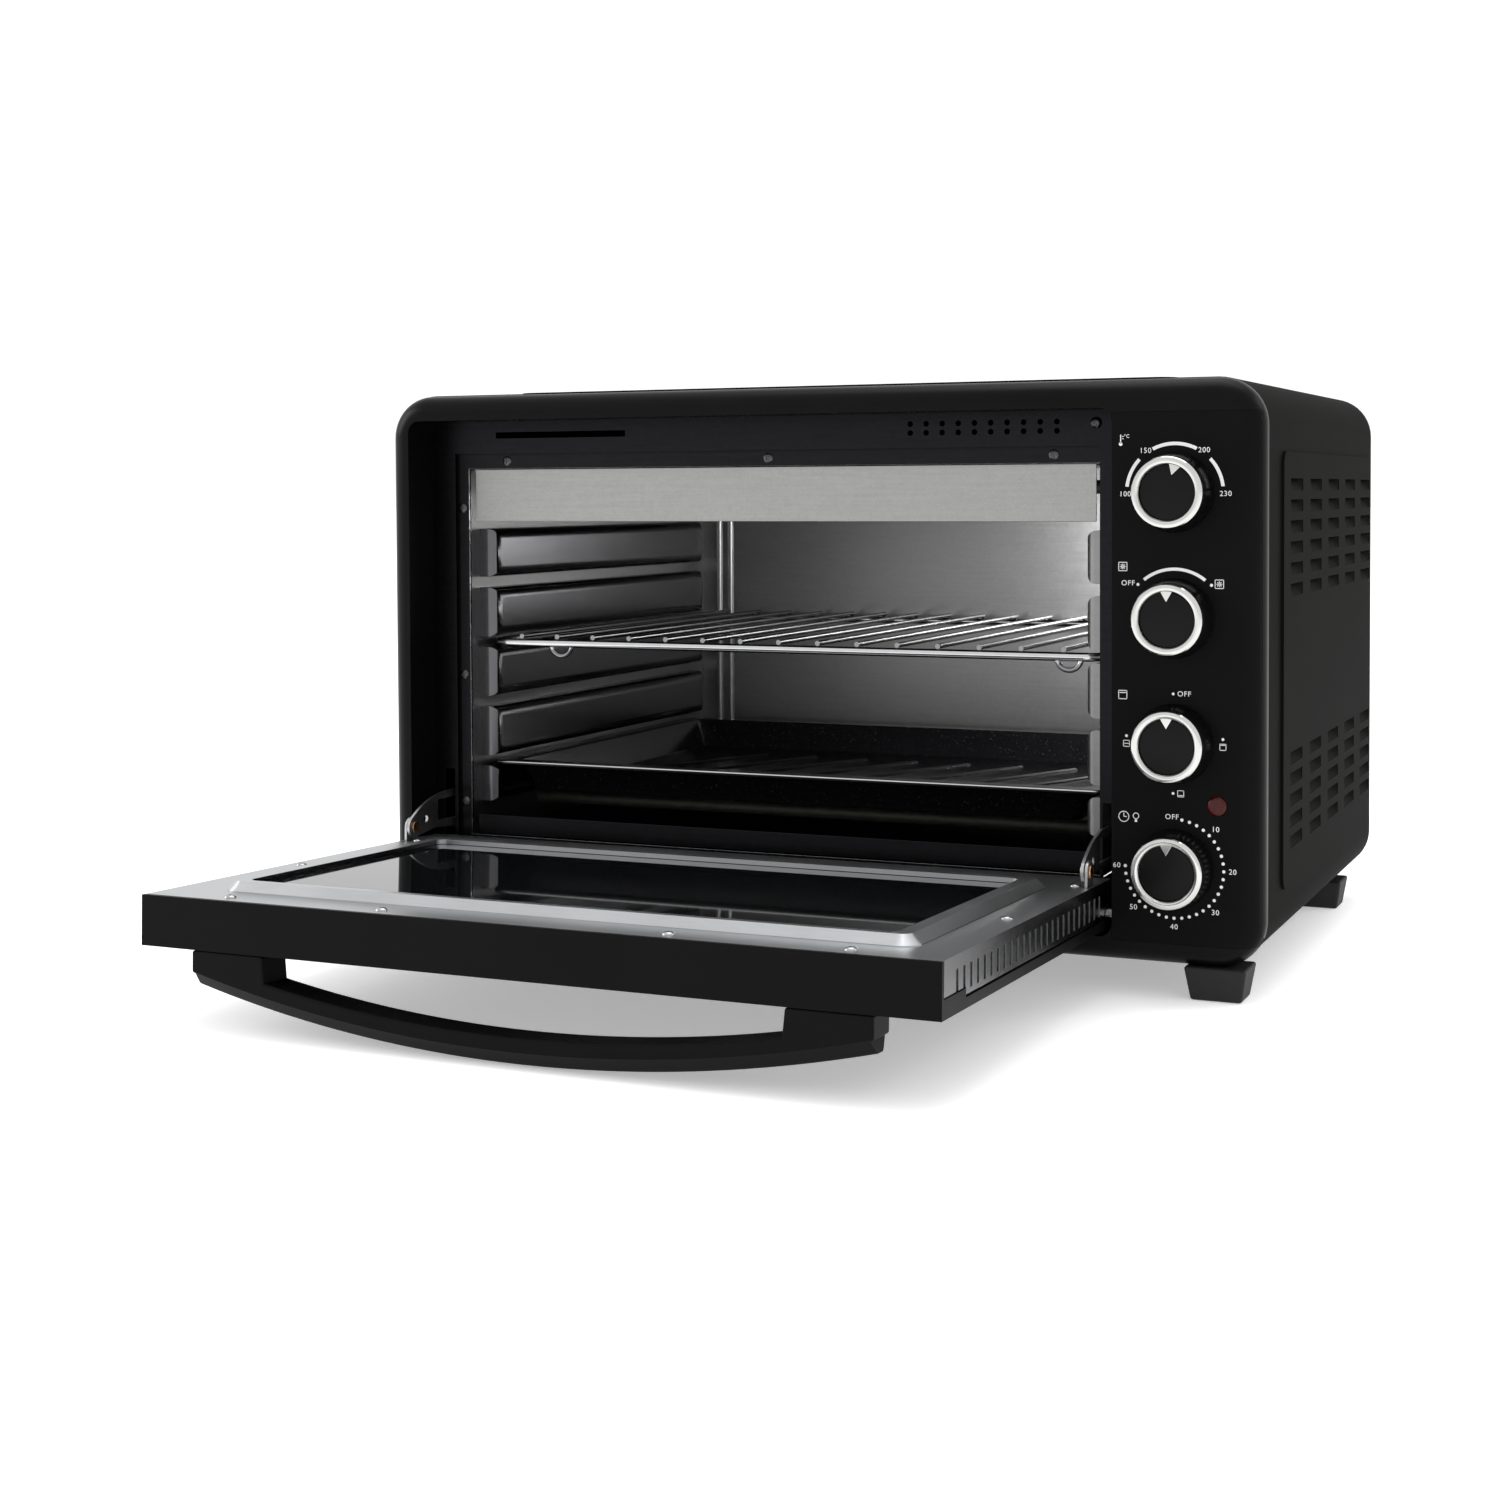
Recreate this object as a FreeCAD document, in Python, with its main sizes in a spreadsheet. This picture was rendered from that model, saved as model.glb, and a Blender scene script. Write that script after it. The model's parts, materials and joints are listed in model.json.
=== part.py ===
import FreeCAD, Part
import math
import os
import Sketcher

from FreeCAD import Placement, Rotation, Vector

# A countertop convection oven with a drop-down door, in millimetres.
# X runs to the right of a person facing it, the front faces -Y and +Z is up.
# Z is 0 under the feet. The door is shown open, resting on its stop.

os.makedirs("parts", exist_ok=True)
doc = FreeCAD.newDocument("countertop_oven")

# ---------------------------------------------------------------- driving sizes

SIZES = {
    # casing
    "front_y": -60.0,        # the fascia's front face
    "half_width": 264.0,
    "foot_height": 18.0,
    "case_height": 307.5,
    "case_depth": 352.0,
    "case_corner": 25.0,
    "ring_depth": 14.0,
    "ring_round": 12.0,
    "ring_skin": 2.5,
    "sheet": 0.8,
    "plateau": 1.5,
    # recess behind the door
    "recess_left": -249.5,
    "recess_right": 184.5,
    "recess_bottom": 31.0,
    "recess_top": 310.5,
    "recess_depth": 28.0,
    # cavity
    "cavity_left": -226.0,
    "cavity_right": 170.0,
    "cavity_floor": 58.0,
    "cavity_top": 282.0,
    "cavity_back": 362.0,
    "guide_depth": 12.0,
    "guide_pitch": 36.8,
    "guide_gap": 6.6,
    "top_guide": 212.4,
    # door
    "door_left": -244.0,
    "door_right": 180.0,
    "door_bottom": 33.0,
    "door_top": 306.5,
    "door_front": 0.3,
    "door_depth": 25.5,
    "pane": 3.5,
    "pane_lip": 2.7,
    "frame_crest": 5.0,
    "hinge_inset": 8.5,
    "hinge_height": 42.0,
    "open_angle": 88.3,
    "window_left": -206.0,
    "window_right": 146.0,
    "window_bottom": 88.5,
    "window_top": 270.5,
    "slot_pitch": 9.5,
    # hinge arms
    "arm_offset": 206.5,
    "arm_sheet": 1.6,
    "arm_pivot_out": 25.0,
    "arm_pivot_up": 24.0,
    "rivet_radius": 2.5,
    "spring_height": 83.0,
    "spring_back": 170.0,
    "spring_radius": 4.0,
    # handle
    "handle_reach": 40.0,
    "handle_end_reach": 17.5,
    "handle_half": 181.0,
    "handle_bar": 13.5,
    "handle_rise": 20.0,
    # controls
    "knob_x": 218.0,
    "knob_mid_z": 167.7,
    "knob_pitch": 65.4,
    "knob_base": 21.0,
    "knob_top": 18.6,
    "knob_length": 19.0,
    "shaft_radius": 3.0,
    "running_gap": 0.05,
    # rack and tray
    "shelf_front": 50.0,
    "rack_wire": 1.5,
    "rack_rail": 2.5,
    "weld_gap": 0.02,
    "rack_pitch": 24.6,
    "rack_back": 352.0,
    "tray_back": 335.0,
    "tray_rim": 2.6,
    "tray_drop": 17.4,
    # fan, heaters and lamp
    "fan_y": 196.0,
    "fan_z": 172.0,
    "heater_radius": 4.0,
    "lamp_y": 296.0,
    "lamp_z": 262.0,
}


class Size:
    """A length that carries its number and the spreadsheet formula behind it."""

    def __init__(self, value, formula):
        self.value = value
        self.formula = formula

    def join(self, other, sign, value):
        return Size(value, "(%s %s %s)" % (self.formula, sign, text_of(other)))

    def __add__(self, other):
        return self.join(other, "+", self.value + number_of(other))

    def __sub__(self, other):
        return self.join(other, "-", self.value - number_of(other))

    def __mul__(self, other):
        return self.join(other, "*", self.value * number_of(other))

    def __truediv__(self, other):
        return self.join(other, "/", self.value / number_of(other))

    def __neg__(self):
        return Size(-self.value, "(-1 * %s)" % self.formula)

    def __radd__(self, other):
        return self + other

    def __rsub__(self, other):
        return -self + other

    def __rmul__(self, other):
        return self * other


def number_of(size):
    return size.value if isinstance(size, Size) else float(size)


def text_of(size):
    return size.formula if isinstance(size, Size) else "%.6g" % size


def bind(thing, prop, size):
    """Ties a property to the sheet, or sets it when it is a plain number."""
    if isinstance(size, Size):
        thing.setExpression(prop, size.formula)
    elif "." in prop:
        thing.setExpression(prop, text_of(size))
    else:
        setattr(thing, prop, size)


def make_sheet():
    sheet = doc.addObject("Spreadsheet::Sheet", "dims")
    sizes = {}
    for row, (alias, value) in enumerate(SIZES.items(), start=1):
        sheet.set("A%d" % row, alias)
        sheet.set("B%d" % row, str(value))
        sheet.setAlias("B%d" % row, alias)
        sizes[alias] = Size(value, "dims." + alias)
    doc.recompute()
    return sizes


D = make_sheet()
FRONT = D["front_y"]
CASE_BOTTOM = D["foot_height"]
CASE_TOP = D["foot_height"] + D["case_height"]
SHEET = D["sheet"]
PLATE_Y = FRONT + D["recess_depth"]
DOOR_MID = (D["door_left"] + D["door_right"]) / 2
HINGE_Y = FRONT + D["hinge_inset"]
HINGE_Z = D["hinge_height"]
DOOR_OUT = FRONT + D["door_front"]
DOOR_IN = DOOR_OUT + D["door_depth"]
PANE_IN = DOOR_IN + D["frame_crest"] - D["pane_lip"]
PANE_OUT = PANE_IN - D["pane"]
CAVITY_MID = (D["cavity_left"] + D["cavity_right"]) / 2
KNOB_ROWS = [D["knob_mid_z"] + D["knob_pitch"] * step for step in (1.5, 0.5, -0.5, -1.5)]
KNOB_NAMES = ["temperature", "fan", "mode", "timer"]
REST_TURNS = {"temperature": 17, "fan": 0, "mode": 0, "timer": 0}
NODES = {}

# ---------------------------------------------------------------- building blocks


def counted(name):
    """A free object name for a construction solid."""
    counted.total += 1
    return "%s_%d" % (name, counted.total)


counted.total = 0


def box(x, y, z):
    """A block between pairs of limits."""
    solid = doc.addObject("Part::Box", counted("block"))
    for prop, (low, high) in zip(("Length", "Width", "Height"), (x, y, z)):
        bind(solid, prop, high - low)
    for prop, (low, high) in zip("xyz", (x, y, z)):
        bind(solid, "Placement.Base." + prop, low)
    return solid


TURNS = {
    "x": Rotation(Vector(0, 1, 0), 90),
    "y": Rotation(Vector(1, 0, 0), -90),
    "z": Rotation(),
}


def rod(axis, start, length, radius):
    """A round bar from a start point along an axis."""
    solid = doc.addObject("Part::Cylinder", counted("rod"))
    solid.Placement = Placement(Vector(), TURNS[axis])
    bind(solid, "Radius", radius)
    bind(solid, "Height", length)
    for prop, place in zip("xyz", start):
        bind(solid, "Placement.Base." + prop, place)
    return solid


def rod_between(one_x, other_x, centre, radius):
    """A round bar along X between two limits given in either order."""
    low, high = sorted((one_x, other_x), key=number_of)
    return rod("x", (low, *centre), high - low, radius)


def cone(axis, start, length, radius, end_radius):
    """A tapered round bar."""
    solid = doc.addObject("Part::Cone", counted("cone"))
    solid.Placement = Placement(Vector(), TURNS[axis])
    bind(solid, "Radius1", radius)
    bind(solid, "Radius2", end_radius)
    bind(solid, "Height", length)
    for prop, place in zip("xyz", start):
        bind(solid, "Placement.Base." + prop, place)
    return solid


def group(solids):
    """Several separate solids as one object."""
    joined = doc.addObject("Part::Compound", counted("group"))
    joined.Links = solids
    return joined


def fuse(*solids):
    joined = doc.addObject("Part::MultiFuse", counted("joined"))
    joined.Shapes = list(solids)
    return joined


def cut(base, *tools):
    """The base less every tool. Tools may touch each other."""
    result = doc.addObject("Part::Cut", counted("cut"))
    result.Base = base
    result.Tool = tools[0] if len(tools) == 1 else fuse(*tools)
    return result


def common(first, second):
    result = doc.addObject("Part::Common", counted("shared"))
    result.Base = first
    result.Tool = second
    return result


def rounded(base, radius, wanted):
    """Rounds the edges that the given test accepts."""
    doc.recompute()
    result = doc.addObject("Part::Fillet", counted("rounded"))
    result.Base = base
    size = number_of(radius)
    picked = [i for i, edge in enumerate(base.Shape.Edges, start=1) if wanted(edge)]
    if not picked:
        raise RuntimeError("no edge to round on " + base.Name)
    result.Edges = [(i, size, size) for i in picked]
    return result


def runs_along(edge, axis):
    """Whether a straight edge lies along an axis."""
    if not isinstance(edge.Curve, Part.Line):
        return False
    return abs(edge.Curve.Direction.dot(axis)) > 0.999


def depth_edges(edge):
    return runs_along(edge, Vector(0, 1, 0))


def upright_edges(edge):
    return runs_along(edge, Vector(0, 0, 1))


def side_edges(edge):
    return runs_along(edge, Vector(1, 0, 0))


def node(label, thing, place=None):
    """Registers a finished sub-part under its own label."""
    thing.Label = label
    if place is not None:
        thing.Placement = place
    NODES[label] = thing
    return thing


def open_door():
    """Where a piece drawn with the door closed stands once it is open."""
    turn = Rotation(Vector(1, 0, 0), number_of(D["open_angle"]))
    pivot = Vector(0, number_of(HINGE_Y), number_of(HINGE_Z))
    return Placement(Vector(), turn, pivot)


# Parametric bodies drawn from sketches.

PLANES = {"front": "XZ_Plane", "top": "XY_Plane", "side": "YZ_Plane"}


def start_body(name):
    return doc.addObject("PartDesign::Body", name + "_body")


def start_sketch(body, plane, offset=0.0):
    """A sketch on one of the body's own origin planes, moved along its normal."""
    sketch = body.newObject("Sketcher::SketchObject", counted("sketch"))
    planes = body.Origin.OriginFeatures
    chosen = [item for item in planes if item.Role == PLANES[plane]]
    sketch.AttachmentSupport = [(chosen[0], "")]
    sketch.MapMode = "FlatFace"
    bind(sketch, "AttachmentOffset.Base.z", offset)
    return sketch


def hold(sketch, kind, where, size):
    """A named distance or radius that follows the sheet."""
    row = sketch.addConstraint(Sketcher.Constraint(kind, *where, number_of(size)))
    if isinstance(size, Size):
        sketch.setExpression("Constraints[%d]" % row, size.formula)


def draw_rectangle(sketch, x, z):
    """A rectangle between pairs of limits, held from the sketch's origin."""
    low, high = [number_of(v) for v in (x[0], z[0])], [number_of(v) for v in (x[1], z[1])]
    corners = [
        Vector(low[0], low[1], 0),
        Vector(high[0], low[1], 0),
        Vector(high[0], high[1], 0),
        Vector(low[0], high[1], 0),
    ]
    first = sketch.GeometryCount
    for i in range(4):
        sketch.addGeometry(Part.LineSegment(corners[i], corners[(i + 1) % 4]), False)
    for i in range(4):
        sketch.addConstraint(
            Sketcher.Constraint("Coincident", first + i, 2, first + (i + 1) % 4, 1)
        )
        kind = "Horizontal" if i % 2 == 0 else "Vertical"
        sketch.addConstraint(Sketcher.Constraint(kind, first + i))
    hold(sketch, "DistanceX", (-1, 1, first, 1), x[0])
    hold(sketch, "DistanceY", (-1, 1, first, 1), z[0])
    hold(sketch, "DistanceX", (first, 1, first, 2), x[1] - x[0])
    hold(sketch, "DistanceY", (first + 1, 1, first + 1, 2), z[1] - z[0])


def draw_circle(sketch, centre, radius):
    spot = Vector(number_of(centre[0]), number_of(centre[1]), 0)
    circle = Part.Circle(spot, Vector(0, 0, 1), number_of(radius))
    first = sketch.addGeometry(circle, False)
    hold(sketch, "DistanceX", (-1, 1, first, 3), centre[0])
    hold(sketch, "DistanceY", (-1, 1, first, 3), centre[1])
    hold(sketch, "Radius", (first,), radius)


def draw_outline(sketch, corners, bulges=None):
    """A closed outline. Corner i is held from the origin, and bulges gives, for an
    edge that is an arc, how far its middle stands off the chord (left of travel)."""
    bulges = bulges or {}
    spots = [Vector(number_of(a), number_of(b), 0) for a, b in corners]
    count = len(spots)
    ends = []
    for i in range(count):
        here, there = spots[i], spots[(i + 1) % count]
        if i in bulges:
            along = there - here
            left = Vector(-along.y, along.x, 0).normalize()
            middle = (here + there) * 0.5 + left * number_of(bulges[i])
            index = sketch.addGeometry(Part.Arc(here, middle, there), False)
            arc = sketch.Geometry[index]
            forward = arc.StartPoint.distanceToPoint(here) < 1e-6
            ends.append((index, (1, 2) if forward else (2, 1), arc.Radius))
        else:
            index = sketch.addGeometry(Part.LineSegment(here, there), False)
            ends.append((index, (1, 2), None))
    for i in range(count):
        index, (_, last), radius = ends[i]
        after, (first, _), _ = ends[(i + 1) % count]
        sketch.addConstraint(Sketcher.Constraint("Coincident", index, last, after, first))
    for i, (a, b) in enumerate(corners):
        index, (first, _), radius = ends[i]
        hold(sketch, "DistanceX", (-1, 1, index, first), a)
        hold(sketch, "DistanceY", (-1, 1, index, first), b)
        if radius is not None:
            hold(sketch, "Radius", (index,), radius)


def pad(body, sketch, length, both=False, back=False):
    """Extrudes a sketch along its normal, or the other way when back is set."""
    feature = body.newObject("PartDesign::Pad", counted("pad"))
    feature.Profile = sketch
    bind(feature, "Length", length)
    feature.Reversed = back
    feature.Midplane = both
    return feature


def pocket(body, sketch, length=None, back=False):
    """Cuts a sketch from the body, right through unless a length is given."""
    feature = body.newObject("PartDesign::Pocket", counted("pocket"))
    feature.Profile = sketch
    if length is None:
        feature.Type = 1
        feature.Midplane = True
    else:
        bind(feature, "Length", length)
        feature.Reversed = back
    return feature


def repeat(body, feature, directions):
    """Repeats a feature in a straight line: (sketch axis, whole length, count)."""
    axis, length, count = directions
    pattern = body.newObject("PartDesign::LinearPattern", counted("pattern"))
    pattern.Originals = [feature]
    pattern.Direction = (feature.Profile[0], [axis])
    bind(pattern, "Length", length)
    pattern.Occurrences = count
    body.Tip = pattern
    return pattern


def round_body(body, radius, wanted):
    """A fillet feature on the edges of the body's tip that the test accepts."""
    doc.recompute()
    tip = body.Tip
    names = [
        "Edge%d" % i for i, edge in enumerate(tip.Shape.Edges, start=1) if wanted(edge)
    ]
    if not names:
        raise RuntimeError("no edge to round on " + body.Name)
    feature = body.newObject("PartDesign::Fillet", counted("fillet"))
    feature.Base = (tip, names)
    bind(feature, "Radius", radius)
    return feature


def at_y(value):
    """A front-plane sketch's offset that puts it at this Y."""
    return -value


# ---------------------------------------------------------------- casing


def slit_bank(x, first_y, first_z, step_y, step_z, columns, rows, width, height):
    """Rows and columns of level slits through the walls between two X limits."""
    slits = []
    for row in range(rows):
        for column in range(columns):
            y = first_y + step_y * column
            z = first_z - step_z * row
            slits.append(box(x, (y, y + width), (z, z + height)))
    return slits


def rounded_case(inset, y):
    """The casing's outer block, drawn in by an inset, with its long corners rounded."""
    half = D["half_width"] - 1 - inset
    block = box((-half, half), y, (CASE_BOTTOM + inset, CASE_TOP + 0.5 - inset))
    return rounded(block, D["case_corner"] - inset, depth_edges)


def make_cabinet_shell():
    """The wrapped sheet: top, both sides and a flange under each side."""
    depth = (FRONT + D["ring_depth"], FRONT + D["case_depth"])
    past = (depth[0] - 1, depth[1] + 1)
    half = D["half_width"]
    raised_y = (FRONT + 52, FRONT + 340)
    raised_z = (CASE_BOTTOM + 34, CASE_TOP - 38)
    raise_by = D["plateau"]
    outer = [rounded_case(0.0, depth)]
    inner = [rounded_case(SHEET, past)]
    for side in (-1, 1):
        limits = sorted((side * (half - 4), side * (half - 1 + raise_by)), key=number_of)
        outer.append(rounded(box(limits, raised_y, raised_z), 8, side_edges))
        limits = sorted(
            (side * (half - 5), side * (half - 1 + raise_by - SHEET)), key=number_of
        )
        tight_y = (raised_y[0] + SHEET, raised_y[1] - SHEET)
        tight_z = (raised_z[0] + SHEET, raised_z[1] - SHEET)
        inner.append(rounded(box(limits, tight_y, tight_z), 7, side_edges))
    raise_by = raise_by + 1
    crown = (CASE_TOP - 4, CASE_TOP + 0.5 + raise_by)
    outer.append(rounded(box((-205, 205), raised_y, crown), 12, upright_edges))
    crown = (CASE_TOP - 5, CASE_TOP + 0.5 + raise_by - SHEET)
    inner.append(
        rounded(
            box((-204, 204), (raised_y[0] + SHEET, raised_y[1] - SHEET), crown),
            11,
            upright_edges,
        )
    )
    under = box((-half + 29, half - 29), past, (CASE_BOTTOM - 1, CASE_BOTTOM + 2))
    shell = cut(fuse(*outer), fuse(*inner), under)
    slits = []
    for side in (-1, 1):
        wall = sorted((side * (half - 4), side * (half + 2)), key=number_of)
        slits += slit_bank(wall, FRONT + 70.6, CASE_TOP - 59, 57.8, 11.4, 5, 6, 35, 6.5)
        slits += slit_bank(wall, FRONT + 70.6, CASE_BOTTOM + 100, 57.8, 11.4, 5, 5, 35, 6.5)
    node("cabinet_shell", cut(shell, group(slits)))


def make_back_panel():
    """The rear sheet, with a box pressed out behind the cavity."""
    half = D["half_width"] - 1 - SHEET
    rear = FRONT + D["case_depth"]
    sheet = box(
        (-half + 0.3, half - 0.3),
        (rear - SHEET, rear),
        (CASE_BOTTOM + SHEET + 0.3, CASE_TOP + 0.2 - SHEET),
    )
    sheet = rounded(sheet, D["case_corner"] - SHEET, depth_edges)
    bulge_x = (D["cavity_left"] - 8, D["cavity_right"] + 8)
    bulge_z = (D["cavity_floor"] - 8, D["cavity_top"] + 8)
    far = rear + 26
    bulge = rounded(box(bulge_x, (rear - SHEET, far), bulge_z), 14, depth_edges)
    inside = rounded(
        box(
            (bulge_x[0] + SHEET, bulge_x[1] - SHEET),
            (rear - 2, far - SHEET),
            (bulge_z[0] + SHEET, bulge_z[1] - SHEET),
        ),
        13,
        depth_edges,
    )
    panel = cut(fuse(sheet, bulge), inside)
    slits = []
    for row in range(6):
        for column in range(6):
            x = -183 + 52 * column
            z = CASE_BOTTOM + 235 - 11 * row
            slits.append(box((x, x + 36), (far - 3, far + 1), (z, z + 2)))
    for row in range(9):
        z = CASE_BOTTOM + 250 - 11 * row
        slits.append(box((188, 232), (rear - 3, rear + 1), (z, z + 2)))
    gland = rod("y", (222, rear - 3, CASE_BOTTOM + 45), 6, 8)
    node("back_panel", cut(panel, group(slits), gland))


def make_cord_gland():
    """The bushed inlet in the back panel."""
    rear = FRONT + D["case_depth"]
    z = CASE_BOTTOM + 45
    barrel = rod("y", (222, rear - 5, z), 6, 7.8)
    flange = rod("y", (222, rear + 0.1, z), 4, 12)
    nut = rod("y", (222, rear - 4.5, z), 3.5, 11)
    bore = rod("y", (222, rear - 8, z), 16, 4.2)
    node("cord_gland", cut(fuse(barrel, flange, nut), bore))


def make_base_plate():
    half = D["half_width"] - 6
    z = CASE_BOTTOM + SHEET
    y = (FRONT + D["ring_depth"] + 2, FRONT + D["case_depth"] - 2)
    sheet = box((-half + 20, half - 20), y, (z + 0.1, z + 0.1 + SHEET))
    slits = []
    for column in range(9):
        x = -184 + 42 * column
        for row in range(3):
            low = FRONT + 70 + 80 * row
            slits.append(box((x, x + 4), (low, low + 60), (z - 1, z + 3)))
    node("base_plate", cut(sheet, group(slits)))


def make_feet():
    """Four tapered rubber feet under the corners."""
    feet = []
    for x in (-238.5, 238.5):
        for y in (17, 304):
            foot = doc.addObject("Part::Wedge", counted("foot"))
            for prop, size in (("X", 16.5), ("Z", 14)):
                setattr(foot, prop + "min", -size + 3)
                setattr(foot, prop + "max", size - 3)
                setattr(foot, prop + "2min", -size)
                setattr(foot, prop + "2max", size)
            foot.Ymin = 0
            bind(foot, "Ymax", D["foot_height"])
            foot.Placement = Placement(Vector(), Rotation(Vector(1, 0, 0), 90))
            bind(foot, "Placement.Base.x", x)
            bind(foot, "Placement.Base.y", FRONT + y)
            feet.append(foot)
    node("feet", group(feet))


def make_case_screws():
    """Pan-head screws that hold the wrap and the bulged back."""
    rear = FRONT + D["case_depth"]
    screws = []
    for x in (-250, 250):
        for z in (CASE_BOTTOM + 40, CASE_BOTTOM + 150, CASE_BOTTOM + 270):
            head = rod("y", (x, rear + 0.1, z), 2.2, 3.6)
            screws.append(head)
    for x in (-120, 0, 120):
        screws.append(rod("y", (x, rear + 0.1, CASE_TOP - 14), 2.2, 3.6))
    node("case_screws", group(screws))


# ---------------------------------------------------------------- fascia


def ring_block(inset, y):
    """The ring's outer block with its long corners and its front edge rounded."""
    half = D["half_width"] - inset
    block = box((-half, half), y, (CASE_BOTTOM + inset, CASE_TOP - inset))
    block = rounded(block, D["case_corner"] - inset, depth_edges)
    front = number_of(y[0])

    def on_front(edge):
        return abs(edge.BoundBox.YMax - front) < 0.01

    return rounded(block, D["ring_round"] - inset, on_front)


def panel_span(shrink):
    """The control panel's limits across the fascia."""
    x = (D["recess_right"] + shrink, D["half_width"] - 1.6 - shrink)
    z = (D["recess_bottom"] - 1.2 + shrink, D["recess_top"] - 2.5 - shrink)
    return x, z


def make_fascia_ring():
    """The moulded front ring: skin, recess walls and a seat for the control panel."""
    skin = D["ring_skin"]
    back = FRONT + D["ring_depth"]
    outer = ring_block(0.0, (FRONT, back))
    inner = ring_block(skin, (FRONT + skin, back + 1))
    shell = cut(outer, inner)
    x = (D["recess_left"], D["recess_right"])
    z = (D["recess_bottom"], D["recess_top"])
    mouth = box(x, (FRONT - 1, PLATE_Y + 1), z)
    mouth = rounded(mouth, 7, depth_edges)
    walls = box(
        (x[0] - skin, x[1] + skin),
        (FRONT + skin / 2, PLATE_Y - 0.1),
        (z[0] - skin, z[1] + skin),
    )
    walls = rounded(walls, 9.5, depth_edges)
    panel_x, panel_z = panel_span(0.0)
    slot = fuse(
        box(panel_x, (FRONT - 1, FRONT + skin + 0.1), panel_z),
        box((D["half_width"] - 14, panel_x[1]), (FRONT - 1, FRONT + 20), panel_z),
    )
    seat_block = box(
        (panel_x[0] + skin, D["half_width"] - 14),
        (FRONT + skin + 0.2, FRONT + skin * 2),
        (panel_z[0] - 2, panel_z[1] + 2),
    )
    seat_hole = box(
        (panel_x[0] + skin + 3, D["half_width"] - 10),
        (FRONT, FRONT + 20),
        (panel_z[0] + 4, panel_z[1] - 4),
    )
    seat = cut(seat_block, seat_hole)
    holes = [
        rod("x", (D["recess_left"] - skin - 1, HINGE_Y, HINGE_Z), skin + 2, D["shaft_radius"]),
        rod("x", (D["recess_right"] - 1, HINGE_Y, HINGE_Z), skin + 2, D["shaft_radius"]),
    ]
    node("fascia_ring", cut(fuse(shell, walls, seat), mouth, slot, group(holes)))


def make_control_panel():
    """The panel insert, which follows the ring's rounded right edge."""
    skin = D["ring_skin"]
    outer = ring_block(0.0, (FRONT, FRONT + D["ring_depth"]))
    inner = ring_block(skin, (FRONT + skin, FRONT + D["ring_depth"] + 1))
    x, z = panel_span(0.15)
    window = box(x, (FRONT - 1, FRONT + D["ring_depth"] - 4), z)
    sheet = common(cut(outer, inner), window)
    holes = [rod("y", (D["knob_x"], FRONT - 2, z), 10, 5) for z in KNOB_ROWS]
    lamp_z = CASE_BOTTOM + 85.3
    holes.append(rod("y", (D["knob_x"] + 22.5, FRONT - 2, lamp_z), 10, 5.2))
    node("control_panel", cut(sheet, group(holes)))


def make_indicator_lens():
    """The red pilot lamp's lens, domed a little proud of the panel."""
    place = (D["knob_x"] + 22.5, FRONT - 1.2, CASE_BOTTOM + 85.3)
    dome = rounded(
        rod("y", place, 9, 5.1), 1.5, lambda edge: edge.BoundBox.YMax < number_of(FRONT) - 1
    )
    stop = rod("y", (place[0], FRONT + D["ring_skin"] + 0.1, place[2]), 2, 6.4)
    node("indicator_lens", fuse(dome, stop))


# ---------------------------------------------------------------- front plate and cavity


def make_front_plate():
    """The sheet that the cavity hangs from, stepped round the cavity's mouth."""
    body = start_body("front_plate")
    thick = 1.0
    sketch = start_sketch(body, "front", at_y(PLATE_Y))
    plate_x = (-D["half_width"] + 4, D["recess_right"] + 6)
    plate_z = (CASE_BOTTOM + 4, CASE_TOP - 4)
    draw_rectangle(sketch, plate_x, plate_z)
    body.Tip = pad(body, sketch, thick, back=True)
    left = number_of(plate_x[0])
    round_body(body, 22, lambda e: depth_edges(e) and abs(e.BoundBox.XMin - left) < 0.1)
    step = 10
    mouth_x = (D["cavity_left"], D["cavity_right"])
    mouth_z = (D["cavity_floor"], D["cavity_top"])
    wide_x = (mouth_x[0] - 8.8, mouth_x[1] + 1.5)
    wide_z = (mouth_z[0] - step, mouth_z[1] + step)
    sketch = start_sketch(body, "front", at_y(PLATE_Y))
    draw_rectangle(sketch, wide_x, wide_z)
    pad(body, sketch, 4, back=True)
    sketch = start_sketch(body, "front", at_y(PLATE_Y))
    draw_rectangle(sketch, (wide_x[0] + thick, wide_x[1] - thick), (wide_z[0] + thick, wide_z[1] - thick))
    pocket(body, sketch, 3)
    sketch = start_sketch(body, "front", at_y(PLATE_Y))
    draw_rectangle(sketch, mouth_x, mouth_z)
    pocket(body, sketch)
    for side in (-1, 1):
        middle = DOOR_MID + side * D["arm_offset"]
        slot_x = sorted((middle + side * 4.7, middle - side * 2.3), key=number_of)
        sketch = start_sketch(body, "front", at_y(PLATE_Y))
        draw_rectangle(sketch, slot_x, (HINGE_Z + 13, HINGE_Z + 56))
        pocket(body, sketch)
    sketch = start_sketch(body, "front", at_y(PLATE_Y))
    draw_rectangle(sketch, (-205, -117), (CASE_TOP - 25.3, CASE_TOP - 21.6))
    pocket(body, sketch)
    for row in (0, 5):
        sketch = start_sketch(body, "front", at_y(PLATE_Y))
        draw_circle(sketch, (62, CASE_TOP - 21 - row), 1.6)
        hole = pocket(body, sketch)
        repeat(body, hole, ("H_Axis", 84.6, 10))
    node("front_plate", body)


def guide_levels():
    """The heights of the four ledges that carry the rack and the tray."""
    return [D["top_guide"] - D["guide_pitch"] * row for row in range(4)]


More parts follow.
